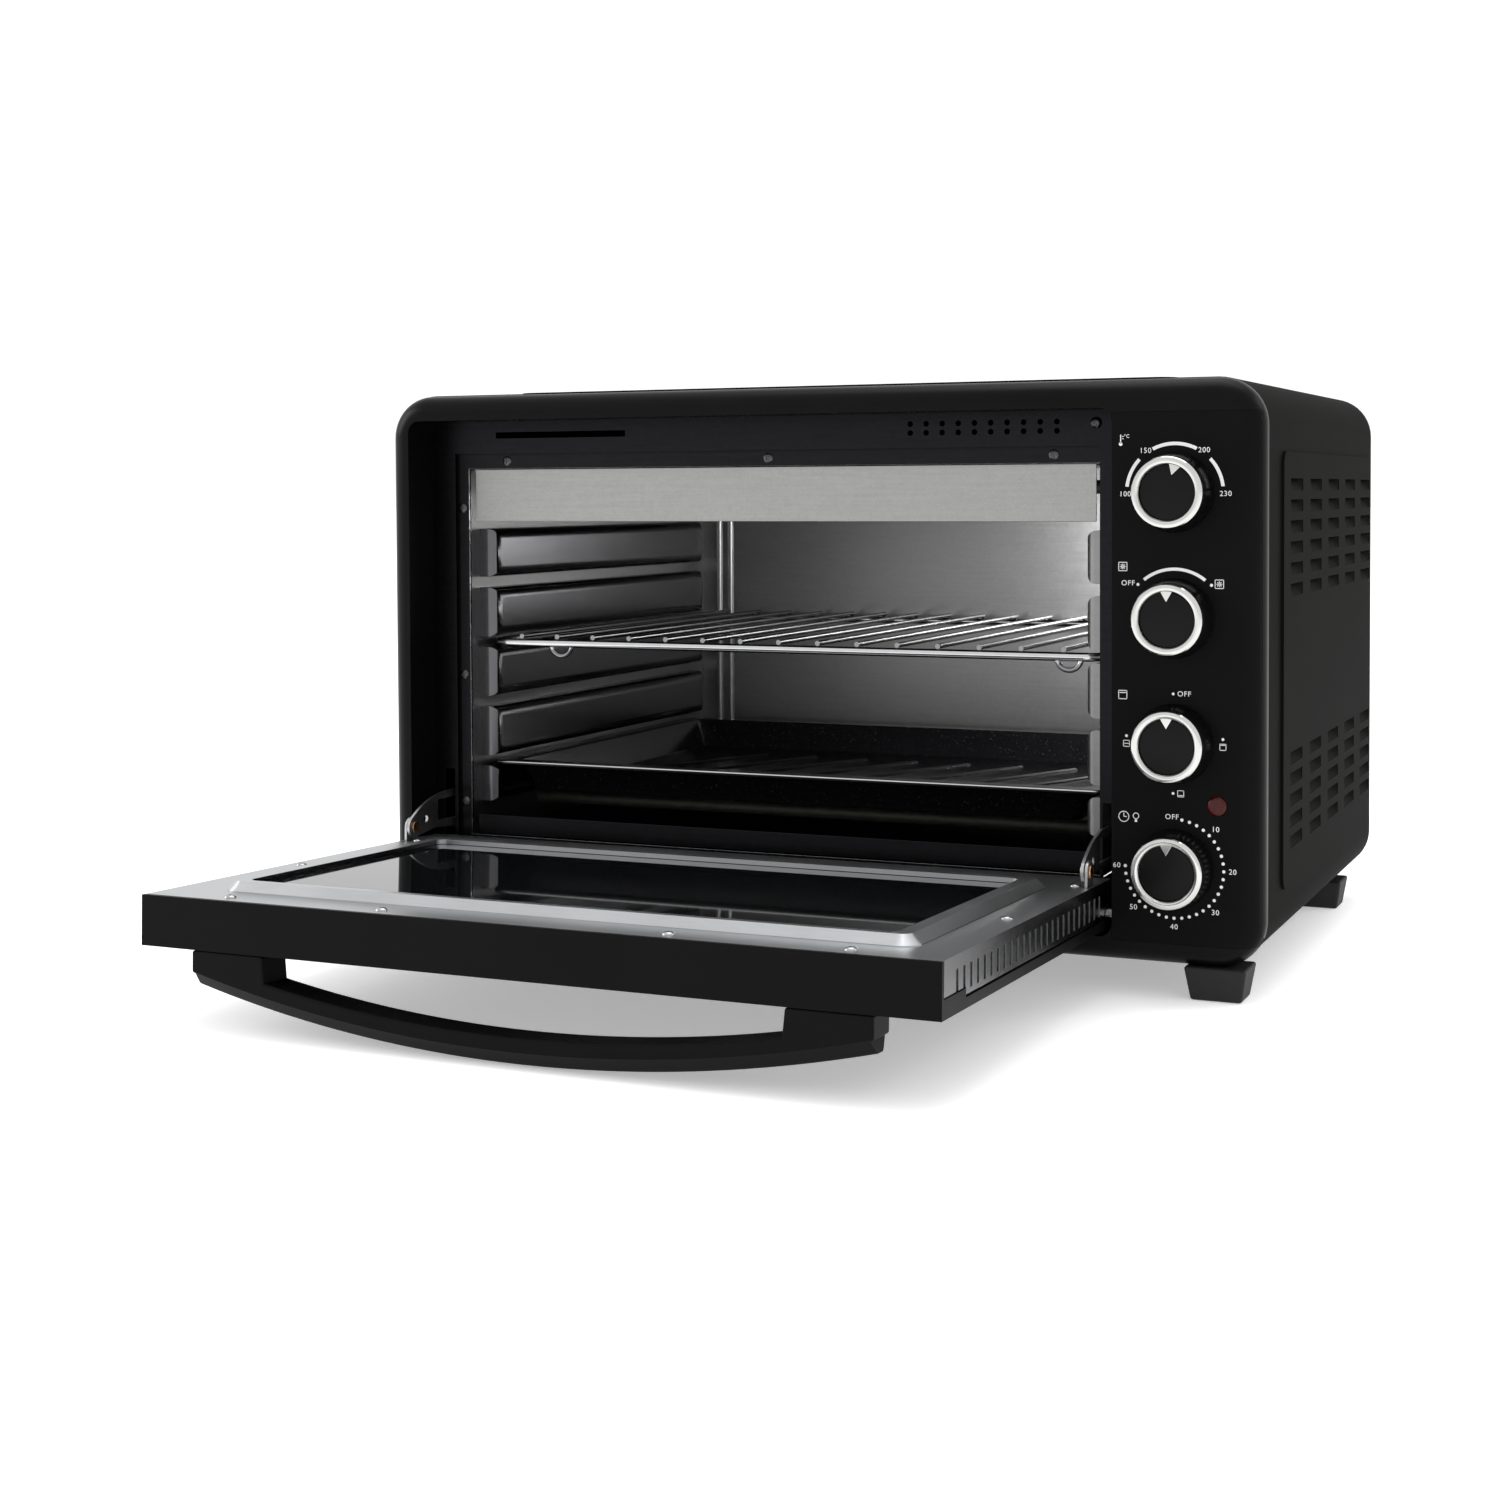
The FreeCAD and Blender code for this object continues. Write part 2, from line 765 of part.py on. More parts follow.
def wall_with_guides(inner_x, side):
    """A cavity side with five pressed ribs. side is +1 where the ribs point to +X."""
    y = (PLATE_Y + 5, FRONT + D["cavity_back"])
    z = (D["cavity_floor"], D["cavity_top"])
    sheet_x = sorted((inner_x, inner_x - side * SHEET), key=number_of)
    outer = [box(sheet_x, y, z)]
    inner = []
    levels = guide_levels()
    gap = D["guide_gap"] / 2
    tops = [levels[0] + D["guide_pitch"] - 4] + [level - gap for level in levels]
    bottoms = [level + gap for level in levels] + [levels[3] - D["guide_pitch"] + 12]
    for top, bottom in zip(tops, bottoms):
        rib_x = sorted((inner_x - side * SHEET, inner_x + side * D["guide_depth"]), key=number_of)
        block = box(rib_x, (y[0] + 10, y[1] - 22), (bottom, top))
        outer.append(rounded(block, 3, lambda edge: not side_edges(edge)
                             and abs(edge.BoundBox.Center.x - number_of(inner_x)) > 5))
        hollow_x = sorted(
            (inner_x - side * (SHEET + 1), inner_x + side * (D["guide_depth"] - SHEET)),
            key=number_of,
        )
        inner.append(
            box(hollow_x, (y[0] + 11.5, y[1] - 23.5), (bottom + 1.5, top - 1.5))
        )
    return fuse(*outer), inner


def spring_tab(inner_x, side):
    """The tab outside a cavity wall that the arm's spring hooks onto."""
    x = sorted((inner_x - side * SHEET, inner_x - side * 16), key=number_of)
    y = FRONT + D["spring_back"]
    z = D["spring_height"]
    plate = box(x, (y, y + 1.5), (D["cavity_floor"] + 6, z + 6))
    hole_x = DOOR_MID - side * D["arm_offset"]
    return cut(plate, rod("y", (hole_x, y - 1, z), 4, 1.6))


def heater_holes(x):
    """Clearance holes for the four heater ends in a side wall."""
    return [rod("x", (x, y, z), 6, 6) for y, z in heater_places()]


def heater_places():
    return [
        (FRONT + y, z)
        for z in (D["cavity_floor"] + 13, D["cavity_top"] - 13)
        for y in (115, 230)
    ]


def make_cavity_walls():
    left, hollows = wall_with_guides(D["cavity_left"], 1)
    tools = hollows + heater_holes(D["cavity_left"] - 3)
    node("cavity_left_wall", fuse(cut(left, group(tools)), spring_tab(D["cavity_left"], 1)))
    right, hollows = wall_with_guides(D["cavity_right"], -1)
    tools = hollows + heater_holes(D["cavity_right"] - 3)
    solid = cut(right, group(tools))
    vents = []
    reach = D["guide_depth"] + 4
    for ring, count in ((16, 8), (30, 14), (44, 20)):
        for i in range(count):
            angle = 2 * math.pi * i / count
            y = FRONT + D["fan_y"] + ring * math.cos(angle)
            z = D["fan_z"] + ring * math.sin(angle)
            vents.append(rod("x", (D["cavity_right"] - reach, y, z), reach + 4, 2.6))
    lamp = rod("x", (D["cavity_right"] - 3, FRONT + D["lamp_y"], D["lamp_z"]), 6, 15)
    solid = cut(solid, group(vents + [lamp]))
    node("cavity_right_wall", fuse(solid, spring_tab(D["cavity_right"], -1)))


def make_cavity_sheets():
    """The cavity's top, floor and back, each a plain folded sheet."""
    x = (D["cavity_left"] - SHEET, D["cavity_right"] + SHEET)
    y = (PLATE_Y + 5, FRONT + D["cavity_back"])
    top = D["cavity_top"]
    floor = D["cavity_floor"]
    node("cavity_top", box(x, y, (top + 0.1, top + 0.1 + SHEET)))
    node("cavity_floor", box(x, y, (floor - 0.1 - SHEET, floor - 0.1)))
    back = box(x, (y[1] + 0.1, y[1] + 0.1 + SHEET), (floor - SHEET, top + SHEET))
    ribs = []
    for offset in (14, 23):
        for rib_x in (D["cavity_left"] + offset, D["cavity_right"] - offset):
            ribs.append(rod("z", (rib_x, y[1] + 0.1, floor + 8), top - floor - 16, 2))
    slab = box(x, (y[1] - 3, y[1] + 0.2), (floor, top))
    node("cavity_back", fuse(back, common(group(ribs), slab)))


def make_deflectors():
    """The bright plate that hides the upper heaters, and the dark sill below."""
    x = (D["cavity_left"] + 3, D["cavity_right"] - 3)
    y = (PLATE_Y + 6, PLATE_Y + 6 + SHEET)
    top = D["cavity_top"]
    plate = box(x, y, (top - 32, top - 1))
    lip = box(x, (y[0], y[0] + 9), (top - 1 - SHEET, top - 0.4))
    node("upper_deflector", fuse(plate, lip))
    floor = D["cavity_floor"]
    plate = box(x, y, (floor + 0.4, floor + 12))
    lip = box(x, (y[0], y[0] + 9), (floor + 0.4, floor + 0.4 + SHEET))
    node("lower_deflector", fuse(plate, lip))


def make_heaters():
    """Two straight tubular elements above and two below, with ceramic ends."""
    radius = D["heater_radius"]
    x = D["cavity_left"] - 14
    length = D["cavity_right"] - D["cavity_left"] + 28
    bars = [rod("x", (x, y, z), length, radius) for y, z in heater_places()]
    node("lower_heaters", group(bars[:2]))
    node("upper_heaters", group(bars[2:]))
    ends = []
    for y, z in heater_places():
        for start in (D["cavity_left"] - SHEET - 8.2, D["cavity_right"] + SHEET + 0.2):
            ends.append(
                cut(
                    rod("x", (start, y, z), 8, 7.5),
                    rod("x", (start - 1, y, z), 14, radius + 0.05),
                )
            )
    node("heater_insulators", group(ends))


def make_cavity_screws():
    """Screws round the cavity's mouth, and one at the fascia's top right."""
    y = PLATE_Y + 2.1
    screws = []
    for x in (-199, -26, 144):
        screws.append(rod("y", (x, y, D["cavity_top"] + 4.5), 0.9, 3))
    for z in (D["cavity_floor"] + 20, D["cavity_floor"] + 98, D["cavity_top"] - 24):
        screws.append(rod("y", (D["cavity_left"] - 4.5, y, z), 0.9, 3))
    screws.append(rod("y", (D["recess_right"] - 16, PLATE_Y - 1.6, CASE_TOP - 22), 1.6, 3.2))
    node("cavity_screws", group(screws))


# ---------------------------------------------------------------- controls behind the panel


def make_control_bracket():
    """The sheet behind the panel that the four controls are nutted to."""
    y = (FRONT + 12, FRONT + 13)
    sheet = box((D["recess_right"] + 5, D["half_width"] - 8), y, (CASE_BOTTOM + 12, CASE_TOP - 12))
    holes = [rod("y", (D["knob_x"], y[0] - 2, z), 6, 5) for z in KNOB_ROWS]
    lamp = rod("y", (D["knob_x"] + 22.5, y[0] - 2, CASE_BOTTOM + 85.3), 6, 7)
    flange = box((D["recess_right"] + 5, D["recess_right"] + 6), (y[0], PLATE_Y - 0.2),
                 (CASE_BOTTOM + 12, CASE_TOP - 12))
    node("control_bracket", cut(fuse(sheet, flange), group(holes + [lamp])))


def bushed_control(z, body_solids):
    """Joins a control's body to its threaded bush and bores it for the shaft."""
    y = FRONT + 8
    bush = rod("y", (D["knob_x"], y, z), 8, 4.9)
    bore = rod("y", (D["knob_x"], y - 1, z), 16, D["shaft_radius"] + D["running_gap"])
    return cut(fuse(bush, *body_solids), bore)


def make_controls():
    x = D["knob_x"]
    y = FRONT + 13.2
    rows = KNOB_ROWS
    block = box((x - 14, x + 14), (y, y + 22), (rows[0] - 17, rows[0] + 17))
    disc = rod("y", (x, y + 22, rows[0]), 8, 12)
    node("thermostat", bushed_control(rows[0], [block, disc]))
    block = box((x - 11, x + 11), (y, y + 24), (rows[1] - 14, rows[1] + 14))
    node("fan_switch", bushed_control(rows[1], [block]))
    drum = rod("y", (x, y, rows[2]), 26, 16)
    tags = box((x - 20, x + 20), (y + 8, y + 10), (rows[2] - 5, rows[2] + 5))
    node("mode_switch", bushed_control(rows[2], [drum, tags]))
    drum = rod("y", (x, y, rows[3]), 20, 23)
    block = box((x - 18, x + 18), (y + 20, y + 34), (rows[3] - 18, rows[3] + 18))
    node("timer", bushed_control(rows[3], [drum, block]))
    bell = cone("y", (x, y + 36, rows[3]), 9, 24, 15)
    inside = cone("y", (x, y + 35, rows[3]), 9, 23.2, 14)
    post = rod("y", (x, y + 34.2, rows[3]), 10.8, 2)
    node("timer_bell", fuse(cut(bell, inside), post))


def make_fan():
    """The convection fan's chamber and motor outside the right wall."""
    x = D["cavity_right"] + SHEET
    centre = (FRONT + D["fan_y"], D["fan_z"])
    pan = cut(
        rod("x", (x + 0.2, *centre), 22, 60),
        rod("x", (x - 1, *centre), 22.2, 59.2),
        rod("x", (x + 10, *centre), 20, 5),
    )
    rim = cut(rod("x", (x + 0.2, *centre), SHEET, 66), rod("x", (x - 1, *centre), 4, 59.5))
    node("fan_chamber", fuse(pan, rim))
    stator = box((x + 26, x + 48), (centre[0] - 30, centre[0] + 30), (centre[1] - 24, centre[1] + 24))
    stator = rounded(stator, 4, side_edges)
    cap = rod("x", (x + 22.4, *centre), 34, 16)
    bore = rod("x", (x + 20, *centre), 28, 2.5 + number_of(D["running_gap"]))
    node("fan_motor", cut(fuse(stator, cap), bore))


def make_fan_blade():
    """A radial blade wheel on the motor's shaft."""
    x = D["cavity_right"] + SHEET + 5
    centre = (FRONT + D["fan_y"], D["fan_z"])
    solids = [rod("x", (x + 10, *centre), 1, 48), rod("x", (x + 2, *centre), 34, 2.5)]
    solids.append(rod("x", (x + 6, *centre), 8, 7))
    for i in range(8):
        blade = doc.addObject("Part::Box", counted("blade"))
        blade.Length = 7
        blade.Width = 26
        blade.Height = 1
        turn = Rotation(Vector(1, 0, 0), 45 * i)
        reach = turn.multVec(Vector(0, 21, -0.5))
        blade.Placement = Placement(reach, turn)
        bind(blade, "Placement.Base.x", x + 3.5)
        bind(blade, "Placement.Base.y", centre[0] + reach.y)
        bind(blade, "Placement.Base.z", centre[1] + reach.z)
        solids.append(blade)
    node("fan_blade", fuse(*solids))


def make_lamp():
    """The oven light: a glass dome inside the wall and its bulb behind it."""
    x = D["cavity_right"]
    centre = (FRONT + D["lamp_y"], D["lamp_z"])
    dome = rounded(rod("x", (x - 9, *centre), 9 + SHEET + 0.5, 14.8), 5,
                   lambda edge: edge.BoundBox.XMax < number_of(x) - 8)
    hollow = rod("x", (x - 7, *centre), 14, 12.5)
    flange = rod("x", (x + SHEET + 0.1, *centre), 1.5, 18)
    lip = cut(flange, rod("x", (x, *centre), 6, 12.5))
    node("lamp_cover", fuse(cut(dome, hollow), lip))
    socket = rod("x", (x + 12, *centre), 22, 11)
    glass = rounded(rod("x", (x - 5, *centre), 17.5, 10), 6,
                    lambda edge: edge.BoundBox.XMax < number_of(x) - 4)
    node("lamp_bulb", fuse(socket, glass))


# ---------------------------------------------------------------- door


def make_door_frame():
    """The outer moulding: face, window tunnel, rim, top edge and hinge blocks."""
    left, right = D["door_left"], D["door_right"]
    bottom, top = D["door_bottom"], D["door_top"]
    face = box((left, right), (DOOR_OUT, DOOR_OUT + 2.5), (bottom, top))
    edge = box((left, right), (DOOR_OUT, DOOR_IN), (top - 2.8, top))
    sill = box((left + 1.6, right - 1.6), (DOOR_OUT, DOOR_OUT + 12), (bottom, bottom + 2.5))
    solids = [face, edge, sill]
    for outer, inner in ((left, left + 2.2), (right, right - 2.2)):
        x = sorted((outer, inner), key=number_of)
        solids.append(box(x, (DOOR_OUT, DOOR_OUT + 5), (bottom, top)))
        solids.append(box(x, (DOOR_OUT, DOOR_OUT + 9), (top - 32, top)))
    window_x = (D["window_left"], D["window_right"])
    window_z = (D["window_bottom"], D["window_top"])
    tunnel_x = (window_x[0] - 2, window_x[1] + 2)
    tunnel_z = (window_z[0] - 2, window_z[1] + 2)
    solids.append(box(tunnel_x, (DOOR_OUT, PANE_OUT - 0.3), tunnel_z))
    for low, high in ((left + 4.6, left + 17), (right - 17, right - 4.6)):
        solids.append(
            box((low, high), (DOOR_OUT, HINGE_Y + 6), (HINGE_Z - 9, HINGE_Z + 8))
        )
    window = rounded(box(window_x, (DOOR_OUT - 1, PANE_IN), window_z), 5, depth_edges)
    bores = [
        rod("x", (x, HINGE_Y, HINGE_Z), 20, D["shaft_radius"] + D["running_gap"])
        for x in (left + 2, right - 22)
    ]
    clear = [
        rod("x", (x, HINGE_Y, HINGE_Z), 5, 4.2) for x in (left - 1.5, right - 3.5)
    ]
    swing = 5
    below = cut(
        box((left - 1, right + 1), (DOOR_OUT - 1, DOOR_OUT + swing), (bottom - 1, bottom + swing)),
        rod("x", (left - 2, DOOR_OUT + swing, bottom + swing), right - left + 4, swing),
    )
    solid = cut(fuse(*solids), window, group(bores + clear), below)
    node("door_frame", solid, open_door())


def door_slots(low_x):
    """One side's row of upright slots, drawn through its wall."""
    slots = []
    for i in range(25):
        z = D["door_top"] - 21.2 - D["slot_pitch"] * i
        slots.append(box((low_x, low_x + 4), (DOOR_IN - 17.3, DOOR_IN - 6.3), (z - 1.6, z + 1.6)))
    return slots


def make_door_liner():
    """The inner sheet: a slotted pan with a raised frame round the glass."""
    left, right = D["door_left"] + 0.4, D["door_right"] - 0.4
    bottom, top = D["door_bottom"] + 0.4, D["door_top"] - 3
    pan = box((left, right), (DOOR_IN - 19.5, DOOR_IN), (bottom, top))
    hollow = box((left + 1, right - 1), (DOOR_IN - 22, DOOR_IN - 1), (bottom - 5, top + 5))
    base_x = (D["window_left"] - 11, D["window_right"] + 12)
    base_z = (D["window_bottom"] - 14, D["window_top"] + 9)
    rim = box(base_x, (DOOR_IN - 5.5, DOOR_IN + D["frame_crest"]), base_z)
    crest = number_of(DOOR_IN + D["frame_crest"])

    def outer_crest(edge):
        return abs(edge.BoundBox.YMin - crest) < 0.01 and edge.BoundBox.YLength < 0.01

    rim = rounded(rim, 10, depth_edges)
    doc.recompute()
    bevel = doc.addObject("Part::Chamfer", counted("bevel"))
    bevel.Base = rim
    picked = [i for i, e in enumerate(rim.Shape.Edges, start=1) if outer_crest(e)]
    bevel.Edges = [(i, 4.6, 4.6) for i in picked]
    channel = cut(
        box(
            (base_x[0] + 5.5, base_x[1] - 5.5),
            (DOOR_IN - 6.5, DOOR_IN + 3.6),
            (base_z[0] + 5.5, base_z[1] - 5.5),
        ),
        box(
            (D["window_left"] - 1, D["window_right"] + 1),
            (PANE_IN + 0.2, DOOR_IN + 4),
            (D["window_bottom"] - 1, D["window_top"] + 1),
        ),
    )
    opening = rounded(
        box(
            (D["window_left"], D["window_right"]),
            (DOOR_IN - 8, DOOR_IN + 8),
            (D["window_bottom"], D["window_top"]),
        ),
        5,
        depth_edges,
    )
    pan_hole = box(
        (base_x[0] + 5, base_x[1] - 5), (DOOR_IN - 4, DOOR_IN + 1), (base_z[0] + 5, base_z[1] - 5)
    )
    sheet = cut(cut(pan, hollow), pan_hole)
    tools = door_slots(left - 2) + door_slots(right - 2)
    for side in (-1, 1):
        middle = DOOR_MID + side * (D["arm_offset"] + 2.05)
        tools.append(
            box((middle - 1.3, middle + 1.3), (DOOR_IN - 3, DOOR_IN + 2), (HINGE_Z + 16, HINGE_Z + 32))
        )
    for x in (left - 3, right - 3):
        tools.append(rod("x", (x, HINGE_Y, HINGE_Z), 6, 5))
        tools.append(box((x, x + 6), (DOOR_IN - 20, DOOR_IN - 16), (top - 30, top + 1)))
    node("door_liner", cut(fuse(sheet, bevel), channel, opening, group(tools)), open_door())


def make_door_glass():
    """The tempered pane, held between the liner's lip and the window tunnel."""
    body = start_body("door_glass")
    sketch = start_sketch(body, "front", at_y(PANE_IN))
    draw_rectangle(
        sketch,
        (D["window_left"] - 4.5, D["window_right"] + 4.5),
        (D["window_bottom"] - 4.5, D["window_top"] + 3),
    )
    body.Tip = pad(body, sketch, D["pane"])
    round_body(body, 4, depth_edges)
    node("door_glass", body, open_door())


def make_glass_seal():
    """A woven heat seal under the pane's edge, round the window tunnel."""
    inside = 2.3
    outer = rounded(
        box(
            (D["window_left"] - 5.2, D["window_right"] + 5.2),
            (PANE_OUT - 4, PANE_OUT - 0.05),
            (D["window_bottom"] - 5.2, D["window_top"] + 3.3),
        ),
        4,
        depth_edges,
    )
    inner = box(
        (D["window_left"] - inside, D["window_right"] + inside),
        (PANE_OUT - 5, PANE_OUT + 1),
        (D["window_bottom"] - inside, D["window_top"] + inside),
    )
    node("glass_seal", cut(outer, inner), open_door())


def make_handle():
    """The bowed grip: one moulding with a block at each end."""
    body = start_body("handle")
    half = D["handle_half"]
    reach, end = D["handle_reach"], D["handle_end_reach"]
    face = DOOR_OUT - 0.2
    sketch = start_sketch(body, "top", D["door_top"])
    draw_outline(
        sketch,
        [
            (DOOR_MID - half, face),
            (DOOR_MID - half, face - end),
            (DOOR_MID + half, face - end),
            (DOOR_MID + half, face),
        ],
        {1: -(reach - end)},
    )
    body.Tip = pad(body, sketch, D["handle_rise"], back=True)
    sketch = start_sketch(body, "top", D["door_top"])
    gap_half = half - 44
    gap_end = end - 3.8
    gap_reach = reach - D["handle_bar"]
    draw_outline(
        sketch,
        [
            (DOOR_MID - gap_half - 2, face + 1),
            (DOOR_MID - gap_half, face - gap_end),
            (DOOR_MID + gap_half, face - gap_end),
            (DOOR_MID + gap_half + 2, face + 1),
        ],
        {1: -(gap_reach - gap_end)},
    )
    pocket(body, sketch)
    limit = number_of(face - reach)

    def grip_edge(edge):
        bow = edge.BoundBox.YMin < limit + 0.5 and edge.BoundBox.ZLength < 0.1
        return bow and edge.BoundBox.XLength > 200

    round_body(body, 3.5, grip_edge)
    node("handle", body, open_door())


def make_door_fasteners():
    """The liner's screws, and the pair that hold the handle from inside."""
    screws = []
    places = [(side * x, D["door_top"] - 11) for side in (-1, 1) for x in (77, 166)]
    places += [(side * 202, D["door_top"] - depth) for side in (-1, 1) for depth in (121, 238)]
    for x, z in places:
        screws.append(rod("y", (DOOR_MID + x, DOOR_IN + 0.1, z), 1.2, 3.1))
    node("door_screws", group(screws), open_door())
    bolts = []
    for side in (-1, 1):
        spot = (DOOR_MID + side * 166, DOOR_OUT + 2.6, D["door_top"] - 10)
        bolts.append(rod("y", spot, 2.4, 4.2))
    node("handle_screws", group(bolts), open_door())


def make_arm_brackets():
    """The two lugs on the liner that the hinge arms pivot on."""
    lugs = []
    out = HINGE_Y + D["arm_pivot_out"]
    up = HINGE_Z + D["arm_pivot_up"]
    for side in (-1, 1):
        middle = DOOR_MID + side * (D["arm_offset"] + 2.05)
        x = (middle - 0.75, middle + 0.75)
        plate = box(x, (DOOR_IN - 8, out), (up - 6, up + 6))
        eye = rod("x", (x[0], out, up), 1.5, 6)
        hole = rod("x", (x[0] - 1, out, up), 4, D["rivet_radius"])
        lugs.append(cut(fuse(plate, eye), hole))
    node("arm_brackets", group(lugs), open_door())


def make_hinge_rivets():
    """A headed rivet through each lug and its arm."""
    rivets = []
    radius = D["rivet_radius"]
    out = HINGE_Y + D["arm_pivot_out"]
    up = HINGE_Z + D["arm_pivot_up"]
    for side in (-1, 1):
        outer = DOOR_MID + side * (D["arm_offset"] + 2.8)
        inner = DOOR_MID + side * (D["arm_offset"] - 1.1)
        shank = rod_between(outer, inner, (out, up), radius)
        outer_head = rod_between(outer, outer + side * 1.0, (out, up), radius + 1.4)
        inner_head = rod_between(inner, inner - side * 0.8, (out, up), radius + 1.4)
        rivets.append(fuse(shank, outer_head, inner_head))
    node("hinge_rivets", group(rivets), open_door())


def make_arm(label, side):
    """A flat hinge arm: an eye on the door's rivet and a fork into the casing."""
    body = start_body(label)
    thick = D["arm_sheet"]
    middle = DOOR_MID + side * D["arm_offset"]
    eye = open_door().multVec(
        Vector(
            0,
            number_of(HINGE_Y + D["arm_pivot_out"]),
            number_of(HINGE_Z + D["arm_pivot_up"]),
        )
    )
    y, z = eye.y, eye.z
    outline = [
        (y + 3.2, z - 5.6),
        (y + 22, z - 3),
        (y + 53, z - 6),
        (y + 53, z + 0.4),
        (y + 25.4, z + 0.4),
        (y + 25.4, z + 13.4),
        (y + 59, z + 13.4),
        (y + 59, z + 17.4),
        (y + 35, z + 17.6),
        (y - 4.2, z + 5),
    ]
    sketch = start_sketch(body, "side", middle)
    draw_outline(sketch, outline, {8: -3})
    body.Tip = pad(body, sketch, thick, both=True)
    sketch = start_sketch(body, "side", middle)
    draw_circle(sketch, (y, z), 6.4)
    body.Tip = pad(body, sketch, thick, both=True)
    sketch = start_sketch(body, "side", middle)
    draw_circle(sketch, (y + 32, z + 6.9), 6.5)
    body.Tip = pocket(body, sketch)
    for spot, radius in (
        ((y, z), D["rivet_radius"] + D["running_gap"]),
        ((y + 55, z + 15.4), 1.0),
        ((y + 12, z + 3.5), 2.2),
    ):
        sketch = start_sketch(body, "side", middle)
        draw_circle(sketch, spot, radius)
        body.Tip = pocket(body, sketch)
    node(label, body)


def make_arm_springs():
    """The coil springs behind the arms, each as the tube its coils fill."""
    springs = []
    height = D["spring_height"]
    front = FRONT + 47
    length = D["spring_back"] - 47
    for side in (-1, 1):
        middle = DOOR_MID + side * D["arm_offset"]
        coil = rod("y", (middle, front + 6, height), length - 12, D["spring_radius"])
        hollow = rod("y", (middle, front + 5, height), length - 10, D["spring_radius"] - 1)
        hook = rod("y", (middle, front, height), 8, 0.6)
        tail = rod("y", (middle, front + length - 8, height), 11, 0.6)
        caps = [
            rod("y", (middle, y, height), 1.2, D["spring_radius"] - 0.4)
            for y in (front + 6, front + length - 7.2)
        ]
        springs.append(fuse(cut(coil, hollow), hook, tail, *caps))
    node("arm_springs", group(springs))


def make_hinge_pins():
    """The two door pins, pressed into the fascia's recess walls."""
    pins = []
    radius = D["shaft_radius"]
    for x in (D["recess_left"] - D["ring_skin"], D["recess_right"] + D["ring_skin"] - 18):
        pins.append(rod("x", (x, HINGE_Y, HINGE_Z), 18, radius))
    node("hinge_pins", group(pins))


# ---------------------------------------------------------------- knobs


def make_knob(name, z):
    """A knob, its bright ring with a pointer, and the shaft they are pressed on."""
    x = D["knob_x"]
    length = D["knob_length"]
    shell = cone("y", (x, FRONT - length + 4, z), length - 4.5, 18.6, D["knob_base"])
    hub = rod("y", (x, FRONT - length + 2, z), 3, 14.4)
    hollow = cut(
        cone("y", (x, FRONT - length + 7, z), length - 7, 16.6, D["knob_base"] - 2),
        rod("y", (x, FRONT - length, z), length + 2, 6),
    )
    bore = rod("y", (x, FRONT - 11, z), 14, D["shaft_radius"])
    knob = cut(fuse(shell, hub), hollow, bore)
    band = cut(
        rod("y", (x, FRONT - length, z), 4, D["knob_top"]),
        rod("y", (x, FRONT - length - 1, z), 8, 14.6),
    )
    band = rounded(band, 0.6, lambda e: e.BoundBox.YMax < number_of(FRONT - length) + 0.01
                   and e.BoundBox.XLength > 5)
    mark = pointer(x, FRONT - length + 0.6, z)
    ring = fuse(band, mark)
    shaft = cut(
        rod("y", (x, FRONT - 11, z), 33, D["shaft_radius"]),
        box((x - 4, x + 4), (FRONT - 12, FRONT - 1), (z + 2, z + 5)),
    )
    centre = Vector(number_of(x), 0, number_of(z))
    place = Placement(Vector(), Rotation(Vector(0, 1, 0), REST_TURNS[name]), centre)
    node("knob_" + name, knob, place)
    node("ring_" + name, ring, place)
    node("shaft_" + name, shaft, place)


def pointer(x, y, z):
    """A small triangle that points from the ring towards the knob's centre."""
    body = start_body(counted("pointer"))
    sketch = start_sketch(body, "front", at_y(y))
    draw_outline(sketch, [(x - 3.6, z + 15.2), (x, z + 9), (x + 3.6, z + 15.2)])
    body.Tip = pad(body, sketch, 1.2, back=True)
    return body


# ---------------------------------------------------------------- rack and tray


def shelf_span():
    """The limits across the cavity of whatever slides on the ledges."""
    return D["cavity_left"] + 1.5, D["cavity_right"] - 1.5


def bend(centre, turn, start, wire, reach, sweep=90):
    """A quarter of a ring of wire, flat, or turned by a rotation."""
    ring = doc.addObject("Part::Torus", counted("bend"))
    bind(ring, "Radius1", reach)
    bind(ring, "Radius2", wire)
    ring.Angle3 = sweep
    ring.Placement = Placement(Vector(), turn.multiply(Rotation(Vector(0, 0, 1), start)))
    for prop, place in zip("xyz", centre):
        bind(ring, "Placement.Base." + prop, place)
    return ring


def make_rack():
    """A loop of heavy wire, and thinner wires laid across it from front to back."""
    rail = D["rack_rail"]
    wire = D["rack_wire"]
    left, right = (end + side * rail for end, side in zip(shelf_span(), (1, -1)))
    front, back = FRONT + D["shelf_front"], FRONT + D["rack_back"]
    z = guide_levels()[1] - D["guide_gap"] / 2 + rail + 0.3
    turn = 12
    flat = Rotation()
    loop = [
        rod("x", (left + turn, front, z), right - left - 2 * turn, rail),
        rod("x", (left + turn, back, z), right - left - 2 * turn, rail),
        rod("y", (left, front + turn, z), back - front - 2 * turn, rail),
        rod("y", (right, front + turn, z), back - front - 2 * turn, rail),
        bend((left + turn, front + turn, z), flat, 180, rail, turn),
        bend((right - turn, front + turn, z), flat, 270, rail, turn),
        bend((right - turn, back - turn, z), flat, 0, rail, turn),
        bend((left + turn, back - turn, z), flat, 90, rail, turn),
    ]
    upright = Rotation(Vector(1, 0, 0), 90)
    for x in (-173, 147):
        loop.append(bend((x, front, z - 0.5), upright, 180, wire, 7, 180))
    node("rack_frame", fuse(*loop))
    lay = z + rail + wire + D["weld_gap"]
    wires = []
    for i in range(15):
        x = CAVITY_MID + D["rack_pitch"] * (i - 7)
        wires.append(rod("y", (x, front - 1, lay), back - front + 2, wire))
    node("rack_wires", group(wires))


